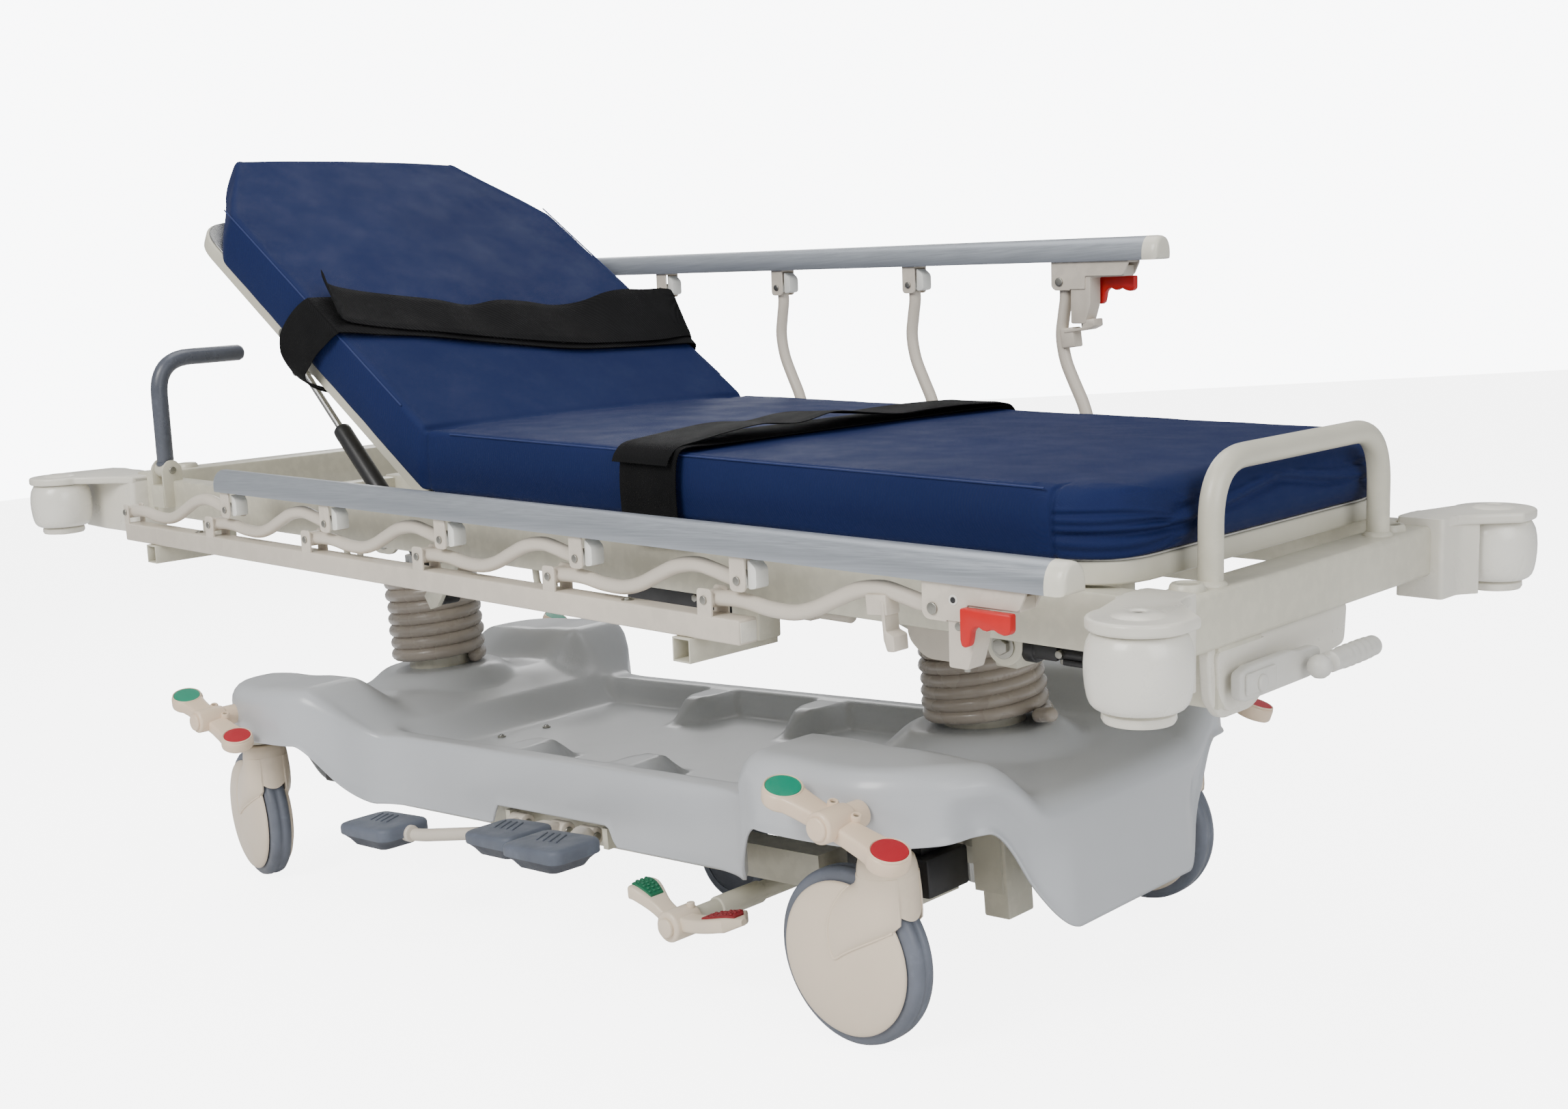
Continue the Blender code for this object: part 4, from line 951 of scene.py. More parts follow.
pump_pedal("lift", -0.235, -0.345, 0.150, half_x=0.058, pivot_x=-0.075)
pump_pedal("lower_head", 0.020, -0.322, 0.166, half_x=0.050, pivot_x=0.012)
pump_pedal("lower_foot", 0.140, -0.347, 0.172, half_x=0.056, pivot_x=0.070)

# ------------------------------------------------------------------ steering pedal
STEER_X, STEER_Y, STEER_Z = 0.312, -0.300, 0.092


def steering_wing(part, way, color, length, rise):
    """One wing of the pedal with its studded insert; way is -1 for head, 1 for foot."""
    rings, inserts = [], []
    for i in range(15):
        t = i / 14
        x = STEER_X + way * (0.006 + (length + 0.017) * t)
        z = STEER_Z + 0.004 + rise * ease(0.0, 0.9, t) - way * 0.004 * math.sin(math.pi * t)
        taper = (t - 0.86) / 0.14 if t > 0.86 else 0
        wide = max(0.013 + 0.009 * ease(0.25, 0.75, t) - 0.021 * taper, 0.0045)
        thick = 0.0085 - 0.0045 * taper
        outline = soften(rectangle(-wide, wide, -thick, thick), 0.0045, 4)
        rings.append([(x, STEER_Y + dy, z + dz) for dy, dz in outline][::way])
        if 0.38 < t < 0.95:
            inner = wide * 0.66
            outline = soften(rectangle(-inner, inner, thick - 0.001, thick + 0.0022), 0.0015, 3)
            inserts.append([(x, STEER_Y + dy, z + dz) for dy, dz in outline][::way])
    part.loft(rings, IVORY)
    part.loft(inserts, color)
    for i, ring in enumerate(inserts[1:-1]):
        x = sum(p[0] for p in ring) / len(ring)
        z = max(p[2] for p in ring)
        for y in (-0.008, 0.0, 0.008):
            part.turned([(0, 0.0), (0.0026, 0.0), (0.0018, 0.0014), (0, 0.0016)], 12, color,
                        at(x, STEER_Y + y * 0.9 + 0.002 * (i % 2), z - 0.0004))


part = Part()
# y, radius, length, sides, bevel, material of the shaft's stages
for y, *stage in ((-0.13, 0.0118, 0.12, 36, 0.001, FRAME), (-0.2, 0.0142, 0.075, 36, 0.002, FRAME),
                  (-0.255, 0.0118, 0.07, 36, 0.001, FRAME),
                  (-0.298, 0.019, 0.044, 40, 0.004, IVORY),
                  (-0.322, 0.012, 0.006, 32, 0.002, IVORY)):
    part.cyl((STEER_X, y, STEER_Z), 'y', *stage)
part.cyl((STEER_X + 0.006, -0.284, STEER_Z + 0.0185), 'z', 0.005, 0.008, 24, 0.001, IVORY)
steering_wing(part, -1, INSERT_GREEN, length=0.050, rise=0.028)
steering_wing(part, 1, INSERT_RED, length=0.090, rise=0.016)
part.finish("steering_butterfly", IVORY, "steer_pedal", "ivory_plastic",
            replaces="steer_pedal", sharp=45)

part = Part()
part.turned(mirrored([(0.05, 0.0145), (0.058, 0.015), (0.061, 0.0135), (0.0625, 0.0095)]),
            64, TYRE)
part.turned(mirrored([(0.008, 0.0135), (0.02, 0.0135), (0.024, 0.01), (0.044, 0.01),
                      (0.0505, 0.013)]), 48, TREAD)
part.finish("fifth_wheel_tyre", TYRE, "fifth_wheel", "tyre_grey",
            at(0.105, 0, 0.0675) @ Z_TO_Y, "fifth_wheel")

# ------------------------------------------------------------------ deck frame
SOCKET_Y = 0.214
LOOP_X, LOOP_Y = 0.948, 0.177        # loop handle at the foot end

part = Part()
for side in SIDES:
    part.box(-0.95, 0.93, side * 0.25, side * 0.285, 0.515, 0.575, 0.004)
    part.box(-0.815, 0.8, side * 0.075, side * 0.105, 0.519, 0.549, 0.003)
    for x, headward, footward in ((-0.594, 0.04, 0.04), (0.529, 0.075, 0.06)):
        part.plate([(x - headward, 0.535), (x - headward, 0.468), (x - 0.022, 0.451),
                    (x + 0.022, 0.451), (x + footward, 0.468), (x + footward, 0.535)],
                   0.012, 'y', side * 0.0765, side * 0.0835, 0.0012)
        part.bolt((x, side * 0.0835, 0.475), 'y', 0.011, side * 0.009)
    for x in (-0.48, 0.05):
        part.box(x - 0.05, x + 0.05, side * 0.082, side * 0.1, 0.5, 0.52, 0.002)
part.box(-0.985, -0.935, -0.292, 0.292, 0.516, 0.585, 0.005)
part.box(0.921, 0.971, -0.29, 0.29, 0.514, 0.571, 0.006, segments=3)
for x in (-0.8, -0.18, 0.28, 0.7):
    part.box(x - 0.015, x + 0.015, -0.262, 0.262, 0.523, 0.546, 0.003)
# mounting ears, hooks and hinge brackets
for side in SIDES:
    for x in (-0.62, -0.3, 0.1, 0.5, 0.78):
        part.box(x - 0.02, x + 0.02, side * 0.246, side * 0.262, 0.5765, 0.5782, 0.0004)
    for x in (-0.42, 0.02):
        hook = [(0, 0.512), (0.004, 0.492), (0.02, 0.48), (0.036, 0.49), (0.036, 0.5)]
        part.tube(spline([(x + dx, side * 0.262, z) for dx, z in hook], 5), 0.0045, 14,
                  tip=0.0045)
    part.plate([(-0.215, 0.52), (-0.15, 0.52), (-0.146, 0.56), (-0.15, 0.598), (-0.178, 0.602),
                (-0.19, 0.585), (-0.215, 0.56)], 0.008, 'y', side * 0.2885, side * 0.2925, 0.001)
    part.bolt((HINGE[0], side * 0.2925, HINGE[2]), 'y', 0.006, side * 0.005)
part.box(0.926, 0.966, -0.192, -0.108, 0.452, 0.518, 0.004)
part.box(0.685, 0.715, -0.172, -0.1, 0.455, 0.53, 0.003)
part.prism([(-0.165, 0.53), (-0.195, 0.53), (-0.275, 0.44), (-0.262, 0.422), (-0.245, 0.428)],
           'y', -0.232, -0.224, 0.001)
for side in SIDES:
    # open-ended outrigger tubes with gusset plates
    for x in (-0.785, 0.415):
        for x0, x1, z0, z1 in ((-0.014, 0.014, 0.462, 0.4642), (-0.014, 0.014, 0.4878, 0.49),
                               (-0.014, -0.0118, 0.463, 0.489), (0.0118, 0.014, 0.463, 0.489)):
            part.box(x + x0, x + x1, side * 0.24, side * 0.378, z0, z1, 0.0006)
        # dark block inside each tube: painted shade for its open bore
        part.box(x - 0.012, x + 0.012, side * 0.25, side * 0.35, 0.464, 0.488, 0.0, HOLE_SHADE)
        part.box(x - 0.022, x + 0.022, side * 0.242, side * 0.278, 0.47, 0.53, 0.003)
    # IV sockets at the foot and the head
    part.turned([(0.0105, 0.566), (0.0105, 0.5765), (0.012, 0.5782), (0.0148, 0.5782),
                 (0.0165, 0.5762), (0.018, 0.5705), (0.018, 0.566)],
                place=at(0.9445, side * SOCKET_Y, 0))
    # dark disc in the foot socket's bore: painted shade of the hole
    part.cyl((0.9445, side * SOCKET_Y, 0.569), 'z', 0.0106, 0.006, 28, 0.0, HOLE_SHADE)
    part.turned([(0.0105, 0.582), (0.0105, 0.5905), (0.012, 0.592), (0.0148, 0.592),
                 (0.0165, 0.59), (0.018, 0.585), (0.018, 0.582)],
                place=at(-0.96, side * SOCKET_Y, 0))
    # dark disc in the head socket's bore: painted shade of the hole
    part.cyl((-0.96, side * SOCKET_Y, 0.585), 'z', 0.0106, 0.004, 28, 0.0, HOLE_SHADE)
    # push-handle forks
    for x0, x1 in ((-0.915, -0.9105), (-0.8795, -0.875)):
        fork = [(0.268, 0.532), (0.302, 0.532), (0.302, 0.596), (0.292, 0.608), (0.278, 0.608),
                (0.268, 0.596)]
        part.plate([(side * y, z) for y, z in fork], 0.006, 'x', x0, x1, 0.0008)
    part.box(-0.914, -0.876, side * 0.266, side * 0.304, 0.532, 0.568, 0.002)
    part.pin((-0.875, side * HANDLE_Y, 0.592), 'x', 0.006, 0.003)
# loop handle at the foot with weld beads
part.tube(bent([(LOOP_X, -LOOP_Y, 0.565), (LOOP_X, -LOOP_Y, 0.69), (LOOP_X, LOOP_Y, 0.69),
                (LOOP_X, LOOP_Y, 0.565)], 0.075, 14), 0.0124, 28)
for side in SIDES:
    part.turned([(0.011, 0.57), (0.0165, 0.57), (0.016, 0.5725), (0.0138, 0.5745),
                 (0.012, 0.576), (0.011, 0.576)], 36, place=at(LOOP_X, side * LOOP_Y, 0))
part.finish("deck_frame_welded", FRAME, "deck", "frame_paint", DECK, "deck_frame", 40)

part = Part()
part.box(0.14, 0.3, -0.215, -0.11, 0.47, 0.518, 0.005)
part.box(0.15, 0.29, -0.222, -0.215, 0.478, 0.51, 0.003)
part.box(-0.36, -0.27, 0.1, 0.2, 0.48, 0.5185, 0.004)
for x in (0.165, 0.275):
    part.cyl((x, -0.2225, 0.494), 'y', 0.005, 0.004, 6, 0.0004, ZINC)
part.tube(spline([(0.14, -0.16, 0.492), (0.05, -0.155, 0.478), (-0.08, -0.15, 0.5),
                  (-0.2, -0.12, 0.505), (-0.3, -0.08, 0.5)], 8), 0.0042, 12)
part.finish("release_box", BLACK, "deck", "black_metal", DECK)

part = Part()
part.tube([(0.3, -0.215, 0.498), (0.52, -0.215, 0.498)], 0.008, tip=0.004)
part.tube([(-0.1, 0.215, 0.5), (-0.45, 0.215, 0.5)], 0.008, tip=0.004)
for x in (0.36, 0.46):
    part.box(x - 0.008, x + 0.008, -0.226, -0.204, 0.488, 0.52)
part.box(0.47, 0.59, -0.145, -0.11, 0.486, 0.516, 0.003)
part.plate([(0.575, 0.515), (0.575, 0.475), (0.6, 0.455), (0.66, 0.455), (0.685, 0.48),
            (0.685, 0.515)], 0.012, 'y', -0.185, -0.179, 0.001)
part.finish("linkage_rods", BAR, "deck", "frame_paint", DECK)

# ------------------------------------------------------------------ corner bumpers
BUMPER_Y = 0.377
BUMPERS = (("fn", 0.995, -1), ("ff", 0.995, 1), ("hn", -1.086, -1), ("hf", -1.086, 1))

part = Part()
for _, bumper_x, side in BUMPERS:
    if bumper_x < 0:
        roof = ([(-0.95, 0.268), (-0.95, 0.318), (-0.985, 0.33)]
                + arc(bumper_x, BUMPER_Y, 0.0465, -5, 187, 20)
                + [(-1.134, 0.33), (-1.128, 0.262), (-1.1, 0.252)])
        web = soften([(-0.95, 0.262), (-0.95, 0.3195), (-1.05, 0.3235), (-1.128, 0.32),
                      (-1.131, 0.262), (-1.05, 0.25)], 0.008)
    else:
        roof = ([(0.928, 0.268), (0.928, 0.3)] + arc(bumper_x, BUMPER_Y, 0.0465, 187, -5, 20)
                + [(1.0405, 0.35), (1.01, 0.322), (0.99, 0.3), (0.984, 0.268)])
        web = soften([(0.93, 0.262), (0.93, 0.318), (0.956, 0.3235), (1.004, 0.3235),
                      (0.986, 0.3), (0.985, 0.262)], 0.006)
    part.prism([(x, side * y) for x, y in roof], 'z', 0.5685, 0.5805, 0.0035, 4)
    part.prism([(x, side * y) for x, y in web], 'z', 0.488, 0.58, 0.0035, 3)
    spot = at(bumper_x, side * BUMPER_Y, 0)
    part.turned([(0, 0.4968), (0.03, 0.4968), (0.0325, 0.495), (0.0328, 0.49), (0.031, 0.4868),
                 (0, 0.4865)], 48, place=spot)
    part.turned([(0, 0.486), (0.012, 0.486), (0.012, 0.484), (0.0, 0.484)], 32, place=spot)
    part.turned([(0.0062, 0.5795), (0.0062, 0.583), (0.009, 0.5845), (0.015, 0.584),
                 (0.0215, 0.5825), (0.0255, 0.58)], 48, place=spot)
    # dark disc in the cap's middle hole: painted shade
    part.cyl((bumper_x, side * BUMPER_Y, 0.5812), 'z', 0.0063, 0.0016, 24, 0.0, HOLE_SHADE)
part.finish("bumper_arms", ARM, "deck", "bumper_plastic", DECK, sharp=45)

# (radius, height) of a bumper roller
ROLLER = [(0.0095, 0.5675), (0.0385, 0.5675), (0.0405, 0.5665), (0.043, 0.5625),
          (0.0455, 0.557), (0.047, 0.549), (0.0478, 0.539), (0.0476, 0.529), (0.0466, 0.518),
          (0.045, 0.5095), (0.043, 0.504), (0.04, 0.5005), (0.0365, 0.4985), (0.0095, 0.4985)]
for key, bumper_x, side in BUMPERS:
    part = Part()
    part.turned(ROLLER, 72, place=at(bumper_x, side * BUMPER_Y, 0))
    part.finish("bumper_wheel_" + key, BUMPER, "bumper_" + key, "bumper_plastic", DECK,
                "bumper_roller_" + key, 50)

# ------------------------------------------------------------------ panels: tray and top sheet
part = Part()
part.plate(rectangle(-0.144, 0.912, -0.285, 0.285), [0.004, 0.075, 0.075, 0.004], 'z',
           0.5785, 0.6015, 0.006, 4, steps=10)
part.plate(rectangle(-0.142, 0.908, -0.282, 0.282), [0.004, 0.072, 0.072, 0.004], 'z',
           0.6005, 0.603, 0.0008, 1, BUMPER, steps=10)
for x in (0.1, 0.62):
    for side in SIDES:
        part.pin((x, side * 0.285, 0.59), 'y', 0.0065, side * 0.003)
part.finish("leg_sheet", FRAME, "deck", "frame_paint", DECK, "leg_panel", 45)

part = Part()
part.plate(rectangle(-0.695, -0.004, -0.285, 0.285), [0.07, 0.004, 0.004, 0.07], 'z',
           -0.014, 0.0095, 0.006, 4, steps=10)
part.plate(rectangle(-0.691, -0.004, -0.282, 0.282), [0.067, 0.004, 0.004, 0.067], 'z',
           0.0088, 0.0118, 0.0008, 1, STEEL, steps=10)
for side in SIDES:
    part.pin((-0.405, side * 0.285, -0.002), 'y', 0.0085, side * 0.004)
    part.box(-0.66, -0.04, side * 0.225 - 0.012, side * 0.225 + 0.012, -0.032, -0.0135, 0.003)
for x in (-0.62, -0.34, -0.06):
    part.box(x - 0.012, x + 0.012, -0.225, 0.225, -0.03, -0.0135, 0.003)
part.plate([(-0.49, -0.012), (-0.425, -0.012), (-0.445, -0.112), (-0.458, -0.12),
            (-0.472, -0.112)], 0.006, 'y', -0.179, -0.171, 0.001)
part.bolt((-0.458, -0.179, -0.108), 'y', 0.006, -0.004)
part.finish("back_sheet", FRAME, "back", "frame_paint", BACK, "back_panel", 45)

# ------------------------------------------------------------------ mattress
# Attribute S runs along it: negative up the back, 0 at the hinge, positive to the foot.
# Attribute T runs round the section: 1-2 up the near side, 2-3 over the top,
# 3-4 down the far side, 4-5 back under.
S_HEAD, S_FOOT = -0.752, 0.924
S_CORNER, S_END_SEAM = 0.835, 0.860
CORNER_R = 0.088                     # foot corners in plan
HALF_WIDTH = 0.299
UNDER_Z = 0.6036
ACROSS = 34
SIDE_HEIGHTS = [0.0, 0.03, 0.07, 0.115, 0.16, 0.205, 0.25, 0.295, 0.34, 0.385, 0.43, 0.475,
                0.52, 0.565, 0.61, 0.66, 0.71, 0.76, 0.81, 0.86, 0.90, 0.935, 0.967, 1.0]
# long creases round the foot corners: height, rise, depth, width, phase
CORNER_FOLDS = ((0.60, 0.06, 0.0016, 0.030, 0.0), (0.30, 0.10, 0.0042, 0.055, 0.6),
                (0.44, 0.26, 0.0030, 0.045, 1.9), (0.14, -0.02, 0.0016, 0.05, 3.1))


def on_back(x, y, z):
    """Backrest coordinates to deck coordinates."""
    return at(*HINGE) @ (BACK_TURN @ Vector((x, y, z)))


def top_drop(x):
    """Fall of the seat's top toward the foot."""
    return 0.0135 * (x + 0.148) / 1.07


def half_width(s):
    if s < -0.575:
        t = (-s - 0.575) / 0.17
        return lerp(0.297, 0.206, ease(0, 1, t) * 0.15 + 0.85 * min(1, t))
    if s > S_CORNER:
        past = min(0.0899, s - S_CORNER)
        return HALF_WIDTH - CORNER_R + math.sqrt(max(0.0, CORNER_R ** 2 - past * past))
    return HALF_WIDTH


def stations():
    """Places along the mattress, closer at the ends, the hinge and the end-cap seam."""
    out = []
    s = S_HEAD
    while s < S_FOOT - 1e-6:
        out.append(s)
        near = min(abs(s - S_HEAD), abs(s - S_FOOT), abs(s),
                   max(0.0, abs(s - S_END_SEAM) - 0.003))
        s += 0.0025 if near < 0.010 else (0.006 if near < 0.04 or s > 0.83 else 0.0125)
    return out + [S_FOOT]


def mattress_section(s):
    """Ring of points at s and its list of (S, T)."""
    if abs(s) < 1e-6:
        low, high = Vector((-0.1540, 0, 0.6030)), Vector((-0.1505, 0, 0.6850))
    elif s <= 0:
        share = s / S_HEAD
        low = on_back(-lerp(0.004, 0.750, share), 0, 0.0122)
        high = on_back(-lerp(0.0425, 0.748, share), 0, 0.0885)
    else:
        x = lerp(-0.150, 0.924, s / S_FOOT)
        low = Vector((x, 0, UNDER_Z))
        high = Vector((x, 0, 0.6865 - top_drop(x)))
    # rounding of the two end faces
    end = min(abs(s - S_HEAD), abs(s - S_FOOT))
    end_r = 0.011 if s < 0 else 0.020
    pull = end_r - math.sqrt(max(0.0, end_r * end_r - (end_r - min(end, end_r)) ** 2))
    up = (high - low).normalized()
    low, high = low + up * pull * 0.6, high - up * pull
    thick = (high - low).length
    half = half_width(s) - pull * 0.5
    edge_r = lerp(0.0065, 0.021, ease(S_CORNER, 0.875, s))
    ring, tags = [], []

    def put(y, height, tag, crown=0.0):
        point = low + up * (height * thick + crown)
        ring.append(Vector((point.x, y, point.z)))
        tags.append((s, tag))

    def put_side(sign, height, tag):
        inset = 0.004 * (1 - min(height, 0.09) / 0.09) ** 2
        below = (1 - height) * thick
        if below < edge_r:
            inset = edge_r - math.sqrt(max(0, edge_r * edge_r - (edge_r - below) ** 2))
        inset -= 0.0030 * math.sin(math.pi * height)     # sides belly out a touch
        put(sign * (half - inset), height, tag)

    for j in range(1, ACROSS):
        u = 1 - 2 * j / ACROSS
        put(half * 0.985 * u, 0.0, 4.0 + (1 - u) / 2)
    for height in SIDE_HEIGHTS:
        put_side(-1, height, 1.0 + height)
    for j in range(1, ACROSS):
        u = -1 + 2 * j / ACROSS
        put((half - edge_r) * u, 1.0, 2.0 + (u + 1) / 2, 0.0035 * (1 - u * u))
    for height in SIDE_HEIGHTS[::-1]:
        put_side(1, height, 3.0 + (1 - height))
    return ring, tags


def end_rings(ring, out, up):
    """Shrinking rings that close an end, bulging along out."""
    middle = sum(ring, Vector()) / len(ring)
    rings = []
    for share, bulge in ((0.88, 0.0018), (0.70, 0.003), (0.45, 0.004), (0.2, 0.0045)):
        points = []
        for p in ring:
            y = math.copysign(max(abs(p.y) - (1 - share) * 0.036, 0.0), p.y)
            points.append(Vector((middle.x, y, middle.z)) + up * (p - middle).dot(up) * share
                          + out * bulge)
        rings.append(points)
    return rings


def mattress_mesh():
    sections = [mattress_section(s) for s in stations()]
    first, last = sections[0], sections[-1]
    head = end_rings(first[0], BACK_TURN @ Vector((-1, 0, 0)), BACK_TURN @ Vector((0, 0, 1)))
    foot = end_rings(last[0], Vector((1, 0, 0)), Vector((0, 0, 1)))
    sections = ([(ring, first[1]) for ring in head[::-1]] + sections
                + [(ring, last[1]) for ring in foot])
    solid = bmesh.new()
    s_layer = solid.verts.layers.float.new("S")
    t_layer = solid.verts.layers.float.new("T")
    rows = []
    for ring, tags in sections:
        row = []
        for point, (s, tag) in zip(ring, tags):
            vert = solid.verts.new(point)
            vert[s_layer] = s
            vert[t_layer] = tag
            row.append(vert)
        rows.append(row)
    count = len(rows[0])
    for low, high in zip(rows, rows[1:]):
        for i in range(count):
            j = (i + 1) % count
            solid.faces.new((low[i], low[j], high[j], high[i]))
    # end lids bridge the last ring from underside to top
    flat, tall = ACROSS - 1, len(SIDE_HEIGHTS)
    for row in (rows[0], rows[-1]):
        under = row[:flat]
        near = row[flat:flat + tall]
        top = row[flat + tall:2 * flat + tall][::-1]
        far = row[2 * flat + tall:]
        for i in range(flat - 1):
            solid.faces.new((under[i], under[i + 1], top[i + 1], top[i]))
        solid.faces.new([under[-1]] + near + [top[-1]])
        solid.faces.new([top[0]] + far + [under[0]])
    bmesh.ops.recalc_face_normals(solid, faces=solid.faces[:])
    mesh = bpy.data.meshes.new("mattress")
    solid.to_mesh(mesh)
    solid.free()
    return mesh


def stuff(item):
    """Puff the cover out with a pressure cloth run, held close to its drawn shape."""
    mesh = item.data
    rest = [v.co.copy() for v in mesh.vertices]
    cloth = item.modifiers.new("Cloth", 'CLOTH')
    settings = cloth.settings
    settings.quality = 5
    settings.mass = 0.3
    settings.use_pressure = True
    settings.uniform_pressure_force = 4.0
    settings.tension_stiffness = settings.compression_stiffness = 30.0
    settings.shear_stiffness = 10.0
    settings.bending_stiffness = 0.6
    settings.effector_weights.gravity = 0.0
    cloth.collision_settings.use_collision = False
    cloth.collision_settings.use_self_collision = False
    scene = bpy.context.scene
    for number in range(1, 21):
        scene.frame_set(number)
    puffed = item.evaluated_get(bpy.context.evaluated_depsgraph_get()).to_mesh()
    moved = [v.co.copy() for v in puffed.vertices]
    item.modifiers.remove(cloth)
    scene.frame_set(1)
    tags, places = mesh.attributes["T"].data, mesh.attributes["S"].data
    for v, start, end in zip(mesh.vertices, rest, moved):
        move = end - start
        tag, s = tags[v.index].value, places[v.index].value
        limit = 0.0065 if 2.0 <= tag <= 3.0 else (0.0055 if tag < 4.0 else 0.0010)
        limit *= 0.25 + 0.75 * ease(0.0, 0.06, abs(s))
        if tag >= 4.0:
            move.z = 0.0             # the underside stays on the panels
        if move.length > limit:
            move = move * (limit / move.length)
        v.co = start + move


def corner_folds(p, s, h, top):
    """Folds and gathers of the end cap; h is the height share."""
    y = abs(p.y)
    if s < 0.9235:
        angle = math.atan2(max(0.0, s - S_CORNER), max(0.02, y - 0.21))
    else:
        angle = math.pi / 2 + (0.211 - min(y, 0.211)) / 0.10
    if s >= 0.9239 or top:
        h = (p.z - UNDER_Z) / 0.072
    u = angle / (math.pi / 2)
    out = 0.0
    for height, rise, depth, width, phase in CORNER_FOLDS:
        centre = height + rise * u * u * 0.6 + 0.03 * math.sin(u * 3.1 + phase)
        fade = ease(0.02, 0.35, u) if height != 0.60 else 1.0
        off = (h - centre) / width
        out += depth * fade * (0.8 * bell(off - 1.9, 1.2) - bell(off, 1.0))
    # small gathers above the stitch line
    fan = math.sin(u * 24 + 2.5 * wander(u * 5, h * 2, 0))
    return out + (0.0006 * fan * bell(h - 0.80, 0.11) * ease(S_END_SEAM, 0.875, s)
                  * ease(0.0, 0.1, u))


def relief(p, tag, s):
    """Outward offset of the cover at p: seams, gathers and creases."""
    y = p.y
    top = 2.0 <= tag <= 3.0
    near = 1.0 <= tag < 2.0
    side = near or 3.0 < tag < 4.0
    if side:
        h = tag - 1.0 if near else 4.0 - tag
    else:
        h = 1.0 if top else 0.0
    out = 0.0
    # slow unevenness of stuffing and cover
    if tag < 4.0 or tag > 5.0:
        out += 0.0011 * wander(p.x * 6, p.y * 6, p.z * 6)
        out += 0.0005 * wander(p.x * 26, p.y * 12, p.z * 26 + 4)
    # sewn edge between the top and side panels
    if s < 0.84 and (side or top):
        edge = abs(h - 0.985) if side else min(abs(tag - 2.0), abs(tag - 3.0)) * 4
        out += 0.0012 * bell(edge, 0.02)
    # drag creases fanning from the hinge corners of the seat
    if top and 0.0 < s < 0.28:
        for crease_y, width, depth in ((-0.262, 0.006, 0.0022), (-0.235, 0.012, -0.0010),
                                       (0.255, 0.008, 0.0016)):
            line = crease_y + 0.10 * s * (1 if crease_y < 0 else -1)
            out -= depth * bell(y - line, width) * math.exp(-s / 0.09)
    # join where the gathered end cap starts
    if s > 0.10:
        share = 1 if side else (0.5 if top and abs(y) > 0.27 else 0.0)
        out -= 0.0024 * bell(s - S_END_SEAM, 0.0022) * share
    cap = s > S_END_SEAM and (side or (top and (s > 0.90 or abs(y) > 0.24)))
    if cap or (s > 0.9239 and not 4.0 <= tag <= 5.0):
        out += corner_folds(p, s, h, top)
    if top and s > 0.70:
        wave = math.sin((y * 0.9 + p.x * 0.35) * 95 + 3 * wander(p.x * 9, p.y * 9, 1))
        out += (0.0009 * ease(0.70, 0.90, s) * wave * ease(0.10, 0.26, abs(y))
                * (1 if y < 0 else 0.5))
    # pull lines on the back's upper face
    if top and s < -0.02:
        out += (0.0008 * math.sin(p.x * 40 + y * 22) * ease(-0.02, -0.2, s)
                * ease(-0.75, -0.55, s))
    # mitre seam down each side at the hinge, and the tuck across the fold
    if side:
        out -= 0.0030 * bell(s, 0.0050)
    if top:
        out -= (0.0007 + 0.0036 * ease(0.19, 0.285, abs(y))) * bell(s, 0.0065)
    return out


def build_mattress():
    item = add_object("mattress", mattress_mesh())
    stuff(item)
    subdivide = item.modifiers.new("sub", 'SUBSURF')
    subdivide.levels = subdivide.render_levels = 1
    graph = bpy.context.evaluated_depsgraph_get()
    coarse, mesh = item.data, bpy.data.meshes.new_from_object(item.evaluated_get(graph))
    item.modifiers.clear()
    item.data = mesh
    bpy.data.meshes.remove(coarse)
    mesh.name = "mattress"
    tags, places = mesh.attributes["T"].data, mesh.attributes["S"].data
    normals = [v.normal.copy() for v in mesh.vertices]
    for v, normal in zip(mesh.vertices, normals):
        v.co = v.co + normal * relief(v.co, tags[v.index].value, places[v.index].value)
    for face in mesh.polygons:
        face.use_smooth = True
    mesh.materials.clear()
    mesh.materials.append(NAVY)
    mesh.transform(SHARED @ DECK)
    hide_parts("mattress_seat", "mattress_back")
    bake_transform(item)


build_mattress()

# raised seam threads along the side edges of the top panel
part = Part()
for side in SIDES:
    xs = [lerp(-0.095, 0.842, i / 60) for i in range(61)]
    part.tube([(x, side * 0.299, 0.685 - top_drop(x) - 0.0008) for x in xs], 0.0011, 8)
part.finish("seat_seam_threads", THREAD, "deck", "mattress_cover", DECK)
part = Part()
for side in SIDES:
    part.tube([(-lerp(0.10, 0.60, i / 40), side * 0.2987, 0.087) for i in range(41)], 0.0011, 8)
part.finish("back_seam_threads", THREAD, "back", "mattress_cover", BACK)


# ------------------------------------------------------------------ straps
def ribbon(part, rows):
    """Flat webbing through rows of (edge point, edge point), with raised rims on one face."""
    half_thick = 0.0024 / 2
    lefts, rights = (spline(edge, 5) for edge in zip(*rows))
    last = len(lefts) - 1
    shares = [j / 9 for j in range(10)]
    rings = []
    for i in range(last + 1):
        ahead, behind = min(i + 1, last), max(i - 1, 0)
        along = (lefts[ahead] - lefts[behind] + rights[ahead] - rights[behind]).normalized()
        across = rights[i] - lefts[i]
        normal = across.cross(along).normalized()
        upper, lower = [], []
        for u in shares:
            lift = half_thick * (1 - 0.55 * (abs(2 * u - 1) ** 8))
            rim = 0.0004 if 0.03 < min(u, 1 - u) < 0.16 else 0.0
            upper.append(lefts[i] + across * u + normal * (lift + rim))
            lower.append(lefts[i] + across * u - normal * lift)
        rings.append(upper + lower[::-1])
    part.loft(rings)


def back_rows(rows):
    """Rows of (reach up the back, height) for each edge, then one y or one for each edge."""
    return [((-reach_a, y[0], height_a), (-reach_b, y[-1], height_b))
            for reach_a, height_a, reach_b, height_b, *y in rows]


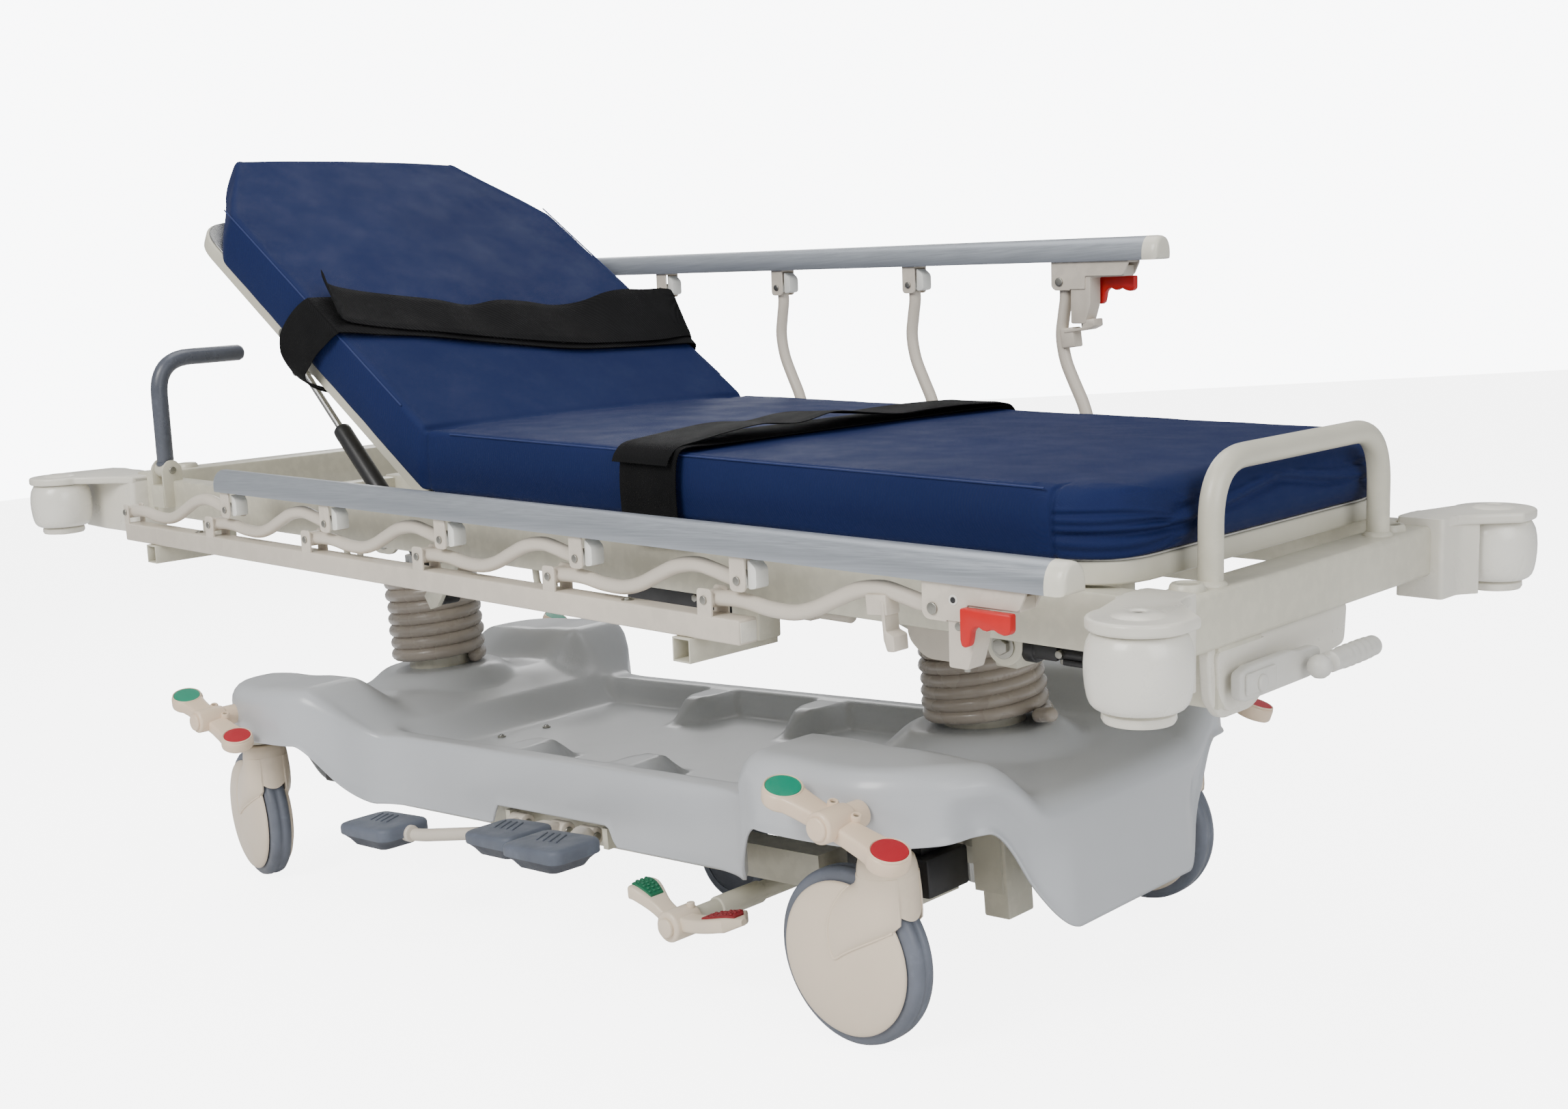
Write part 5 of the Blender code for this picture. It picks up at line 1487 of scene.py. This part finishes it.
part = Part()
ribbon(part, back_rows([
    # up the near side
    (0.293, -0.0245, 0.277, -0.0235, -0.245), (0.302, -0.024, 0.285, -0.022, -0.275),
    (0.326, -0.0215, 0.291, -0.013, -0.3), (0.359, -0.008, 0.2965, 0.0, -0.311, -0.3115),
    (0.374, 0.015, 0.291, 0.021, -0.3125), (0.371, 0.04, 0.284, 0.045, -0.3125),
    (0.362, 0.066, 0.272, 0.069, -0.312), (0.3535, 0.086, 0.2655, 0.086, -0.3085),
    (0.3505, 0.0945, 0.2635, 0.0935, -0.303),
    # across the mattress
    (0.349, 0.0965, 0.262, 0.0965, -0.296), (0.346, 0.0965, 0.251, 0.0965, -0.24),
    (0.332, 0.0968, 0.237, 0.0968, -0.16), (0.304, 0.097, 0.208, 0.097, -0.05),
    (0.28, 0.0968, 0.184, 0.0968, 0.06), (0.274, 0.0965, 0.178, 0.0965, 0.17),
    (0.272, 0.0965, 0.176, 0.0965, 0.27), (0.272, 0.0955, 0.176, 0.0955, 0.296),
    # down the far side
    (0.272, 0.088, 0.176, 0.088, 0.3085), (0.272, 0.05, 0.177, 0.05, 0.312),
    (0.271, 0.005, 0.178, 0.005, 0.311), (0.27, -0.022, 0.18, -0.022, 0.295)]))
# looser upper layer
ribbon(part, back_rows([
    (0.3725, 0.127, 0.285, 0.111, -0.2765, -0.293),
    (0.3715, 0.114, 0.282, 0.1045, -0.2705, -0.287),
    (0.369, 0.1045, 0.278, 0.101, -0.259, -0.275),
    (0.361, 0.1015, 0.269, 0.1003, -0.237, -0.25),
    (0.349, 0.1008, 0.255, 0.1002, -0.2), (0.333, 0.103, 0.245, 0.1005, -0.155),
    (0.317, 0.1055, 0.232, 0.1012, -0.11), (0.303, 0.1025, 0.22, 0.1005, -0.06),
    (0.302, 0.1095, 0.208, 0.1008, -0.01), (0.296, 0.1085, 0.197, 0.1012, 0.04),
    (0.288, 0.1045, 0.19, 0.1004, 0.09), (0.286, 0.11, 0.187, 0.1004, 0.14),
    (0.291, 0.1215, 0.184, 0.101, 0.19), (0.297, 0.1215, 0.184, 0.1012, 0.235),
    (0.296, 0.12, 0.188, 0.1008, 0.272), (0.28, 0.131, 0.192, 0.099, 0.298),
    (0.271, 0.133, 0.1957, 0.094, 0.31, 0.311), (0.2705, 0.118, 0.195, 0.082, 0.315),
    (0.272, 0.06, 0.19, 0.05, 0.316), (0.275, 0.015, 0.186, 0.012, 0.316)]))
part.finish("back_strap", WEBBING, "back", "black_metal", BACK, sharp=60)


def seat_top(x):
    return 0.6868 - top_drop(x) + 0.0045


# x of each edge, y, then one z or one for each edge
NEAR_ROWS = [(0.25, 0.344, -0.25, 0.574), (0.25, 0.344, -0.292, 0.5745),
             (0.25, 0.344, -0.3065, 0.59), (0.25, 0.345, -0.3105, 0.625),
             (0.251, 0.346, -0.311, 0.655), (0.252, 0.347, -0.3075, 0.677),
             (0.255, 0.35, -0.296, 0.6885, 0.6865)]
TOP_ROWS = [(0.258, 0.352, y, seat_top(0.26) + 0.0012, seat_top(0.35) + 0.0012)
            for y in (-0.25, -0.15, -0.05, 0.05, 0.15, 0.25)]
FAR_ROWS = [(0.262, 0.356, 0.297, 0.688, 0.686), (0.262, 0.356, 0.3085, 0.676),
            (0.262, 0.356, 0.311, 0.64), (0.262, 0.356, 0.3085, 0.595),
            (0.262, 0.356, 0.296, 0.575), (0.262, 0.356, 0.26, 0.574)]
# looser upper layer: y, x of the head edge, rise over the seat, extra rise of the foot edge
LOOSE_ROWS = [
    (-0.318, 0.246, -0.018, 0.0), (-0.3135, 0.247, -0.008, 0.0), (-0.3, 0.248, 0.002, 0.0),
    (-0.27, 0.252, 0.0062, 0.001), (-0.23, 0.26, 0.011, 0.003), (-0.18, 0.266, 0.015, 0.004),
    (-0.12, 0.268, 0.012, 0.003), (-0.06, 0.27, 0.017, 0.006), (0.0, 0.272, 0.013, 0.004),
    (0.06, 0.272, 0.0085, 0.002), (0.12, 0.272, 0.009, 0.002), (0.18, 0.272, 0.009, 0.002),
    (0.24, 0.27, 0.0075, 0.001), (0.285, 0.268, 0.005, 0.0005), (0.306, 0.268, -0.002, 0.0),
    (0.3145, 0.268, -0.02, 0.0), (0.315, 0.268, -0.06, 0.0)]
part = Part()
ribbon(part, [((x0, y, z[0]), (x1, y, z[-1])) for x0, x1, y, *z in NEAR_ROWS + TOP_ROWS + FAR_ROWS])
ribbon(part, [((x, y, seat_top(x) + rise), (x + 0.094, y, seat_top(x + 0.09) + rise + extra))
              for y, x, rise, extra in LOOSE_ROWS])
part.finish("seat_strap", WEBBING, "deck", "black_metal", DECK, sharp=60)

# loose tail of the back strap, hanging under the backrest
part = Part()
ribbon(part, back_rows([
    (0.3, -0.0245, 0.262, -0.0245, -0.246), (0.29, -0.03, 0.25, -0.029, -0.236),
    (0.262, -0.036, 0.222, -0.034, -0.232), (0.225, -0.037, 0.185, -0.035, -0.23)]))
part.finish("strap_tail", WEBBING, "back", "black_metal", BACK, sharp=60)

# ------------------------------------------------------------------ gas spring
SPRING_LOW, SPRING_HIGH = Vector((-0.260, -0.200, 0.434)), Vector((-0.600, -0.200, 0.754))
lean = Vector((0, 0, 1)).rotation_difference((SPRING_HIGH - SPRING_LOW).normalized())
spring = Matrix.Translation(SPRING_LOW) @ lean.to_matrix().to_4x4()
part = Part()
part.turned([(0.0066, 0.04), (0.0125, 0.04), (0.0135, 0.044), (0.0135, 0.33), (0.0128, 0.336),
             (0.0105, 0.3385), (0.0066, 0.3385)], place=spring)
part.turned([(0.0072, 0.01), (0.0112, 0.01), (0.012, 0.012), (0.012, 0.0405),
             (0.0072, 0.0405)], 36, place=spring)
part.cyl((0, 0, 0.004), 'y', 0.0115, 0.03, 32, 0.002, None, spring)
part.bolt((0, -0.015, 0.004), 'y', 0.006, -0.005, spring)
part.finish("gas_strut_tube", BLACK, "gas_cylinder", "black_metal", DECK,
            "gas_spring_cylinder")

# ------------------------------------------------------------------ push handles
for key, side in (("near", -1), ("far", 1)):
    y = side * HANDLE_Y
    foot = at(HANDLE_X, y, 0)
    part = Part()
    part.tube(bent([(HANDLE_X, y, 0.6), (HANDLE_X, y, 0.77), (HANDLE_X, side * 0.14, 0.772)],
                   0.058, 12), 0.0132, 28, GRIP, tip=0.0095)
    part.turned([(0.0, 0.5832), (0.01, 0.5832), (0.0118, 0.585), (0.0122, 0.6), (0.0, 0.6)],
                36, FRAME, foot)
    part.cyl((HANDLE_X, y, 0.592), 'x', 0.0135, 0.03, 32, 0.002, FRAME)
    part.turned([(0.0, 0.599), (0.0142, 0.599), (0.0146, 0.601), (0.0142, 0.6045),
                 (0.0, 0.6045)], 40, GRIP, foot)
    part.finish("push_bar_" + key, GRIP, "push_handle_" + key, "handle_sleeve", DECK,
                "push_handle_" + key, 45)

# ------------------------------------------------------------------ crank at the foot end
part = Part()
part.plate([(-0.185, 0.4635), (-0.172, 0.46), (-0.045, 0.46), (-0.028, 0.464), (-0.024, 0.486),
            (-0.036, 0.4905), (-0.07, 0.4905), (-0.082, 0.494), (-0.165, 0.494),
            (-0.185, 0.49)], 0.006, 'x', 0.9735, 0.9855, 0.003, 3)
part.plate(rectangle(-0.178, -0.12, 0.4665, 0.488), 0.004, 'x', 0.985, 0.9885, 0.0015, 2)
part.cyl((0.9655, CRANK_Y, CRANK_Z), 'x', 0.0078, 0.038, 28, 0.001, ZINC)
part.cyl((0.989, CRANK_Y, CRANK_Z), 'x', 0.0085, 0.005, 32, 0.002)
part.turned([(0, -0.0125), (0.0055, -0.0112), (0.0098, -0.0078), (0.0122, -0.003), (0.0125, 0.0),
             (0.0122, 0.003), (0.0098, 0.0078), (0.0055, 0.0112), (0, 0.0125)], 36,
            place=at(1.002, -0.06, 0.4755))
part.finish("crank_lever", CRANK, "crank", "crank_plastic", DECK, "crank_arm", 40)

# grip with soft ribs round it
part = Part()
profile = [(0.0, -0.0385), (0.0085, -0.0375)]
for i in range(27):
    rib = 0.5 + 0.5 * math.cos(i * 2 * math.pi / 3.7)
    profile.append((0.0108 + 0.0012 * rib * ease(3, 8, i) * ease(25, 20, i),
                    -0.036 + 0.0935 * i / 26))
part.turned(profile + [(0.008, 0.059), (0.0, 0.06)], place=at(1.001, 0, 0.4755) @ Z_TO_Y)
part.box(0.9895, 1.0035, -0.0455, -0.026, 0.4675, 0.4835, 0.003)
part.finish("crank_knob_grip", CRANK, "crank_grip", "crank_plastic", DECK, "crank_grip", 40)

# moulded housing plate under the foot beam
part = Part()
part.plate([(-0.205, 0.515), (-0.2, 0.462), (-0.178, 0.44), (-0.12, 0.44), (-0.095, 0.452),
            (0.075, 0.47), (0.08, 0.515)], 0.01, 'x', 0.95, 0.962, 0.003, 3)
part.plate([(-0.195, 0.51), (-0.19, 0.462), (-0.175, 0.448), (-0.125, 0.448), (-0.106, 0.462),
            (-0.1, 0.51)], 0.008, 'x', 0.9605, 0.9665, 0.002, 2)
part.turned([(0.009, 0.0), (0.015, 0.0), (0.015, 0.004), (0.0125, 0.006), (0.009, 0.006)], 32,
            place=at(0.966, CRANK_Y, CRANK_Z) @ Z_TO_X)
part.finish("crank_housing", ARM, "deck", "crank_plastic", DECK, sharp=40)

# shaft with its universal joint
part = Part()
part.cyl((0.8, CRANK_Y, CRANK_Z), 'x', 0.008, 0.268, 24, 0.001)
part.cyl((0.716, CRANK_Y, CRANK_Z), 'x', 0.015, 0.024, 32, 0.0025)
# yoke x, collar offset, then cheek offset and cheek half size in y and z
for x, collar, off_y, off_z, half_y, half_z in ((0.742, -0.018, 0.0085, 0, 0.0035, 0.008),
                                                (0.778, 0.018, 0, 0.0085, 0.008, 0.0035)):
    for side in SIDES:
        y, z = CRANK_Y + off_y * side, CRANK_Z + off_z * side
        part.box(x - 0.016, x + 0.016, y - half_y, y + half_y, z - half_z, z + half_z)
    part.cyl((x + collar, CRANK_Y, CRANK_Z), 'x', 0.0132, 0.014, 28, 0.002)
for axis in 'yz':
    part.cyl((0.76, CRANK_Y, CRANK_Z), axis, 0.0045, 0.024, 20, 0.0008, ZINC)
part.box(0.754, 0.766, -0.156, -0.144, 0.469, 0.481)
part.finish("crank_universal_joint", BLACK, "deck", "black_metal", DECK, "crank_shaft", 40)

# round ear plate with a hex bolt, under the near side of the deck
part = Part()
part.prism(arc(0.738, 0.494, 0.0215, 190, 350, 16) + [(0.76, 0.517), (0.715, 0.517)],
           'y', -0.2265, -0.2225, 0.001)
part.bolt((0.738, -0.2265, 0.494), 'y', 0.0093, -0.008)
part.box(0.712, 0.762, -0.232, -0.18, 0.51, 0.517, 0.001)
part.finish("ear_plate", FRAME, "deck", "frame_paint", DECK)

# ------------------------------------------------------------------ side rails
LUG_IN, LUG_OUT = 0.0112, 0.0142     # faces of the lugs from the rail's middle plane
LATCH_X = POST_PITCH * 5             # foot post, from the rail's first pin
# (distance along a post, rise of its middle line)
POST_LINE = [(0, 0), (0.03, 0.0), (0.055, -0.003), (0.085, -0.0095), (0.12, -0.0125),
             (0.15, -0.0075), (0.18, 0.003), (0.212, 0.013), (0.245, 0.015), (0.272, 0.0085),
             (0.295, 0.002), (POST_LENGTH, 0)]
# (y, z) of one half of the top rail's section
RAIL_HALF = [(0.0185, 0.0262), (0.0191, 0.029), (0.0192, 0.0345), (0.0188, 0.039),
             (0.0178, 0.0432), (0.016, 0.0475), (0.0135, 0.0512), (0.0105, 0.054),
             (0.007, 0.056), (0.0035, 0.0569)]
# (x from the latch pin, z) of the housing cheek, with a corner radius for each point
CHEEK = [(-0.0135, 0.0275), (-0.0135, -0.006), (-0.008, -0.0115), (0.016, -0.0115),
         (0.016, -0.01), (0.0405, -0.01), (0.0405, 0.007), (0.1, 0.007), (0.108, 0.023),
         (0.108, 0.0275)]
CHEEK_RADII = [0, 0.003, 0.004, 0.002, 0, 0, 0.003, 0.004, 0.003, 0]
LATCH_CORE = [(0.0165, 0.02), (0.0165, -0.056), (0.0395, -0.056), (0.048, -0.03),
              (0.048, 0.005), (0.101, 0.006), (0.101, 0.02)]
# release lever with finger notches
LEVER = [(0.04, 0.006), (0.04, -0.024), (0.0415, -0.03), (0.0455, -0.0315), (0.05, -0.029),
         (0.0515, -0.023), (0.053, -0.015), (0.0575, -0.0105), (0.062, -0.01),
         (0.0665, -0.0122), (0.071, -0.0128), (0.075, -0.0112), (0.0795, -0.0108),
         (0.0845, -0.0132), (0.0905, -0.0145), (0.096, -0.0135), (0.0985, -0.01),
         (0.0985, 0.006)]


def from_latch(points):
    return [(LATCH_X + x, z) for x, z in points]


def rail_bar(key, rail_y):
    part = Part()
    part.box(-0.872, 0.502, rail_y - 0.0145, rail_y + 0.0145, 0.4905, 0.518, 0.0025, segments=3)
    for x in (-0.8722, 0.5022):
        part.box(x - 0.0006, x + 0.0006, rail_y - 0.0118, rail_y + 0.0118, 0.4932, 0.5153,
                 0.0004, ARM)
    for i in range(6):
        x = PIN_X + POST_PITCH * i
        x0, x1 = x - (0.0112 if i else 0.002), x + 0.0112
        top = PIN_Z + 0.0125
        for side in SIDES:
            part.plate([(x0, 0.516), (x0, top), (x1, top), (x1, 0.516)],
                       [0, 0.006 if i else 0.002, 0.006, 0], 'y',
                       *sorted((rail_y + side * LUG_IN, rail_y + side * LUG_OUT)), 0.0006, 1)
            part.pin((x + (0 if i else 0.003), rail_y + side * LUG_OUT, PIN_Z), 'y', 0.0048,
                     side * 0.0022)
    for x in (-0.66, 0.31):
        part.bolt((x, rail_y, 0.518), 'z', 0.005, 0.0026)
    part.finish("rail_lower_bar_" + key, BAR, "deck", "rail_paint", DECK, "rail_bar_" + key, 40)


def rail_posts(key, rail_y, angle):
    for i in range(6):
        latched = i == 5
        part = Part()
        part.tube(spline([(x, 0, z) for x, z in POST_LINE], 5), 0.0086, 22)
        part.cyl((0, 0, 0), 'y', 0.01, 0.0208, 32, 0.0015)
        part.cyl((POST_LENGTH, 0, 0), 'y', 0.01, 0.0208, 32, 0.0015,
                 None if latched else NYLON)
        if latched:
            part.box(0.228, 0.255, -0.0105, 0.0105, -0.0105, 0.0105, 0.002)
            part.plate([(0.2485, 0.004), (0.2485, -0.034), (0.252, -0.046), (0.262, -0.046),
                        (0.262, -0.03), (0.2525, -0.026), (0.2525, 0.004)], 0.002, 'y',
                       -0.0115, 0.01, 0.0006, 1, steps=3)
        place = DECK @ at(PIN_X + POST_PITCH * i, rail_y, PIN_Z) @ turn(-angle, 'Y')
        number = "%s_%d" % (key, i + 1)
        part.finish("rail_strut_" + number, BAR, "post_" + number, "rail_paint", place,
                    "rail_post_" + number, 45)


def rail_profile(key, body, place):
    part = Part()
    mirror = [(-y, z) for y, z in RAIL_HALF[::-1]]
    part.prism(RAIL_HALF + [(0, 0.0571)] + mirror
               + [(-0.015, 0.0262), (-0.015, 0.0285), (0.015, 0.0285), (0.015, 0.0262)],
               'x', -0.019, 1.452)
    part.finish("rail_profile_" + key, RAIL, body, "rail_grey", place, "rail_top_" + key, 30)


def rail_fittings(key, side_out, body, place):
    part = Part()
    # end caps: (share of the reach, share of the section)
    cap = ([(y * 1.01, z) for y, z in RAIL_HALF] + [(0, 0.0574)]
           + [(-y * 1.01, z) for y, z in RAIL_HALF[::-1]])
    cap_z = 0.0405
    for start, reach, outline, stages in (
            (1.4515, 0.0215, cap, ((0.0, 1.0), (0.6, 1.0), (0.80, 0.97), (0.92, 0.90),
                                   (0.985, 0.78), (1.0, 0.60))),
            (-0.0185, -0.004, cap[::-1], ((0.0, 1.0), (0.2, 0.9), (0.3, 0.6)))):
        part.loft([[(start + reach * t, y * share, cap_z + (z - cap_z) * share)
                    for y, z in outline] for t, share in stages], CAP)
    # upper clevises with nylon guide pieces
    for i in range(5):
        x = POST_PITCH * i
        for side in SIDES:
            part.plate([(x - 0.0115, 0.0275), (x - 0.0115, -0.012), (x + 0.0115, -0.012),
                        (x + 0.0115, 0.0275)], [0, 0.007, 0.007, 0], 'y',
                       *sorted((side * LUG_IN, side * LUG_OUT)), 0.0006, 1, BAR)
            part.pin((x, side * LUG_OUT, 0.0), 'y', 0.0048, side * 0.0022)
        part.box(x - 0.0112, x + 0.0112, -0.014, 0.014, 0.024, 0.0275, 0.0008, BAR)
        part.plate([(x + 0.0118, -0.009), (x + 0.024, -0.007), (x + 0.024, 0.014),
                    (x + 0.0118, 0.024)], 0.004, 'y', -0.0095, 0.0095, 0.002, 2, NYLON)
    # latch housing at the foot post
    for side in SIDES:
        part.plate(from_latch(CHEEK), CHEEK_RADII, 'y',
                   *sorted((side * LUG_IN, side * 0.0146)), 0.0006, 1, BAR, steps=5)
        part.pin((LATCH_X, side * 0.0146, 0.0), 'y', 0.006, side * 0.0024)
    part.box(LATCH_X - 0.013, LATCH_X + 0.107, -0.014, 0.014, 0.0235, 0.0275, 0.001, BAR)
    part.plate(from_latch(LATCH_CORE), [0, 0.003, 0.003, 0.006, 0.003, 0.003, 0], 'y',
               -0.0125, 0.0125, 0.0015, 2, BAR, steps=4)
    part.cyl((LATCH_X + 0.029, 0, -0.058), 'z', 0.0032, 0.006, 20, 0.0008, ZINC)
    part.cyl((LATCH_X + 0.029, side_out * 0.0128, -0.015), 'y', 0.004, 0.0012, 20, 0.0003, ZINC)
    # plain round dot on the housing's outer face
    for y, radius, material in ((0.0148, 0.0052, BUMPER), (0.0153, 0.003, BLACK)):
        part.cyl((LATCH_X + 0.025, side_out * y, 0.0105), 'y', radius, 0.0008, 28, 0.0002,
                 material)
    part.finish("rail_fittings_" + key, BAR, body, "rail_paint", place, sharp=40)


# key, side, angle of the posts above level in degrees: near rail folded, far rail raised
for key, side, angle in (("near", -1, 4.7), ("far", 1, 96.9)):
    rail_y = side * RAIL_Y
    rail_bar(key, rail_y)
    rail_posts(key, rail_y, angle)
    body = "rail_" + key
    place = DECK @ at(PIN_X + POST_LENGTH * math.cos(rad(angle)), rail_y,
                      PIN_Z + POST_LENGTH * math.sin(rad(angle)))
    rail_profile(key, body, place)
    rail_fittings(key, side, body, place)
    part = Part()
    part.prism(from_latch(LEVER), 'y', *sorted((side * 0.0151, side * 0.0255)), 0.0022, 3)
    part.finish("rail_lever_" + key, RED, "release_" + key, "release_red", place,
                "rail_release_" + key, 40)

# ------------------------------------------------------------------ CAD parts that stay
KEPT = {"base_frame": FRAME, "head_piston": STEEL, "foot_piston": STEEL,
        "head_knuckle": FRAME, "fifth_wheel_arm": ZINC, "gas_spring_rod": STEEL}
for name, material in KEPT.items():
    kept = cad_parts[name]
    kept.data.materials.clear()
    kept.data.materials.append(material)
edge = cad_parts["base_frame"].modifiers.new("edge", 'BEVEL')
edge.width = 0.0012
edge.segments = 1
edge.limit_method = 'ANGLE'
edge.angle_limit = rad(50)
edge.use_clamp_overlap = True

# ------------------------------------------------------------------ floor
n = Shader("floor_tone")
tone = n.mix(n.remap(n.noise(scale=0.8, detail=2.0), span=(0.3, 0.7)),
             (0.86, 0.86, 0.87), (0.90, 0.90, 0.90))
n.finish(tone, rough=0.75)
# the floor glows white to the camera only
camera_ray = n.node("LightPath").outputs["Is Camera Ray"]
glow = n.node("Emission", Color=(1, 1, 1, 1))
n.feed(glow.inputs["Strength"], n.math('MULTIPLY', camera_ray, 5.5))
both = n.node("AddShader")
n.feed(both.inputs[0], n.principled.outputs[0])
n.feed(both.inputs[1], glow.outputs[0])
n.feed(n.tree.nodes["Material Output"].inputs["Surface"], both.outputs[0])
grid = bmesh.new()
bmesh.ops.create_grid(grid, x_segments=2, y_segments=2, size=14)
mesh = bpy.data.meshes.new("floor")
grid.to_mesh(mesh)
grid.free()
floor = add_object("floor", mesh)
mesh.materials.append(n.material)
floor.location = (0, 0, -0.0005)

# ------------------------------------------------------------------ world and lights
world = bpy.data.worlds.new("studio")
world.use_nodes = True
tree = world.node_tree
background = tree.nodes["Background"].inputs
background["Color"].default_value = (0.97, 0.985, 1.0, 1)
path = tree.nodes.new("ShaderNodeLightPath")
strength = tree.nodes.new("ShaderNodeMapRange")
strength.inputs["To Min"].default_value = 0.50       # light on the stretcher
strength.inputs["To Max"].default_value = 9.0        # brightness seen by the camera
tree.links.new(path.outputs["Is Camera Ray"], strength.inputs["Value"])
tree.links.new(strength.outputs["Result"], background["Strength"])
bpy.context.scene.world = world


def area(name, location, target, size, energy, color=(1, 1, 1)):
    light = bpy.data.lights.new(name, 'AREA')
    light.energy = energy
    light.size = size
    light.color = color
    item = bpy.data.objects.new(name, light)
    item.location = location
    aim = Vector(target) - Vector(location)
    item.rotation_euler = aim.to_track_quat('-Z', 'Y').to_euler()
    bpy.context.scene.collection.objects.link(item)


area("key", location=(0.4, -3.6, 3.2), target=(0, 0, 0.5), size=1.9, energy=165,
     color=(1.0, 0.985, 0.96))
area("fill", location=(3.6, -0.9, 1.7), target=(0.3, 0, 0.4), size=2.0, energy=54,
     color=(0.97, 0.985, 1.0))
area("top", location=(-0.4, 0.3, 3.8), target=(0, 0, 0.4), size=2.6, energy=60)
area("rim", location=(-3.0, 2.4, 2.4), target=(0, 0, 0.5), size=1.8, energy=40)

# ------------------------------------------------------------------ camera
CAMERA_PLACE = (1.875, -1.669, 0.765)
AZIMUTH, ELEVATION, ROLL = rad(44.291), rad(-6.637), rad(-4.896)
lens = bpy.data.cameras.new("cam")
lens.sensor_width = 36.0
lens.lens = 40.93
camera = bpy.data.objects.new("cam", lens)
forward = Vector((-math.sin(AZIMUTH) * math.cos(ELEVATION),
                  math.cos(AZIMUTH) * math.cos(ELEVATION), math.sin(ELEVATION)))
flat_right = forward.cross(Vector((0, 0, 1))).normalized()
flat_up = flat_right.cross(forward)
right = flat_right * math.cos(ROLL) + flat_up * math.sin(ROLL)
up = -flat_right * math.sin(ROLL) + flat_up * math.cos(ROLL)
pose = Matrix((*zip(right, up, -forward, CAMERA_PLACE), (0, 0, 0, 1)))
camera.matrix_world = SHARED @ pose
bpy.context.scene.collection.objects.link(camera)
bpy.context.scene.camera = camera

bpy.context.view_layer.update()
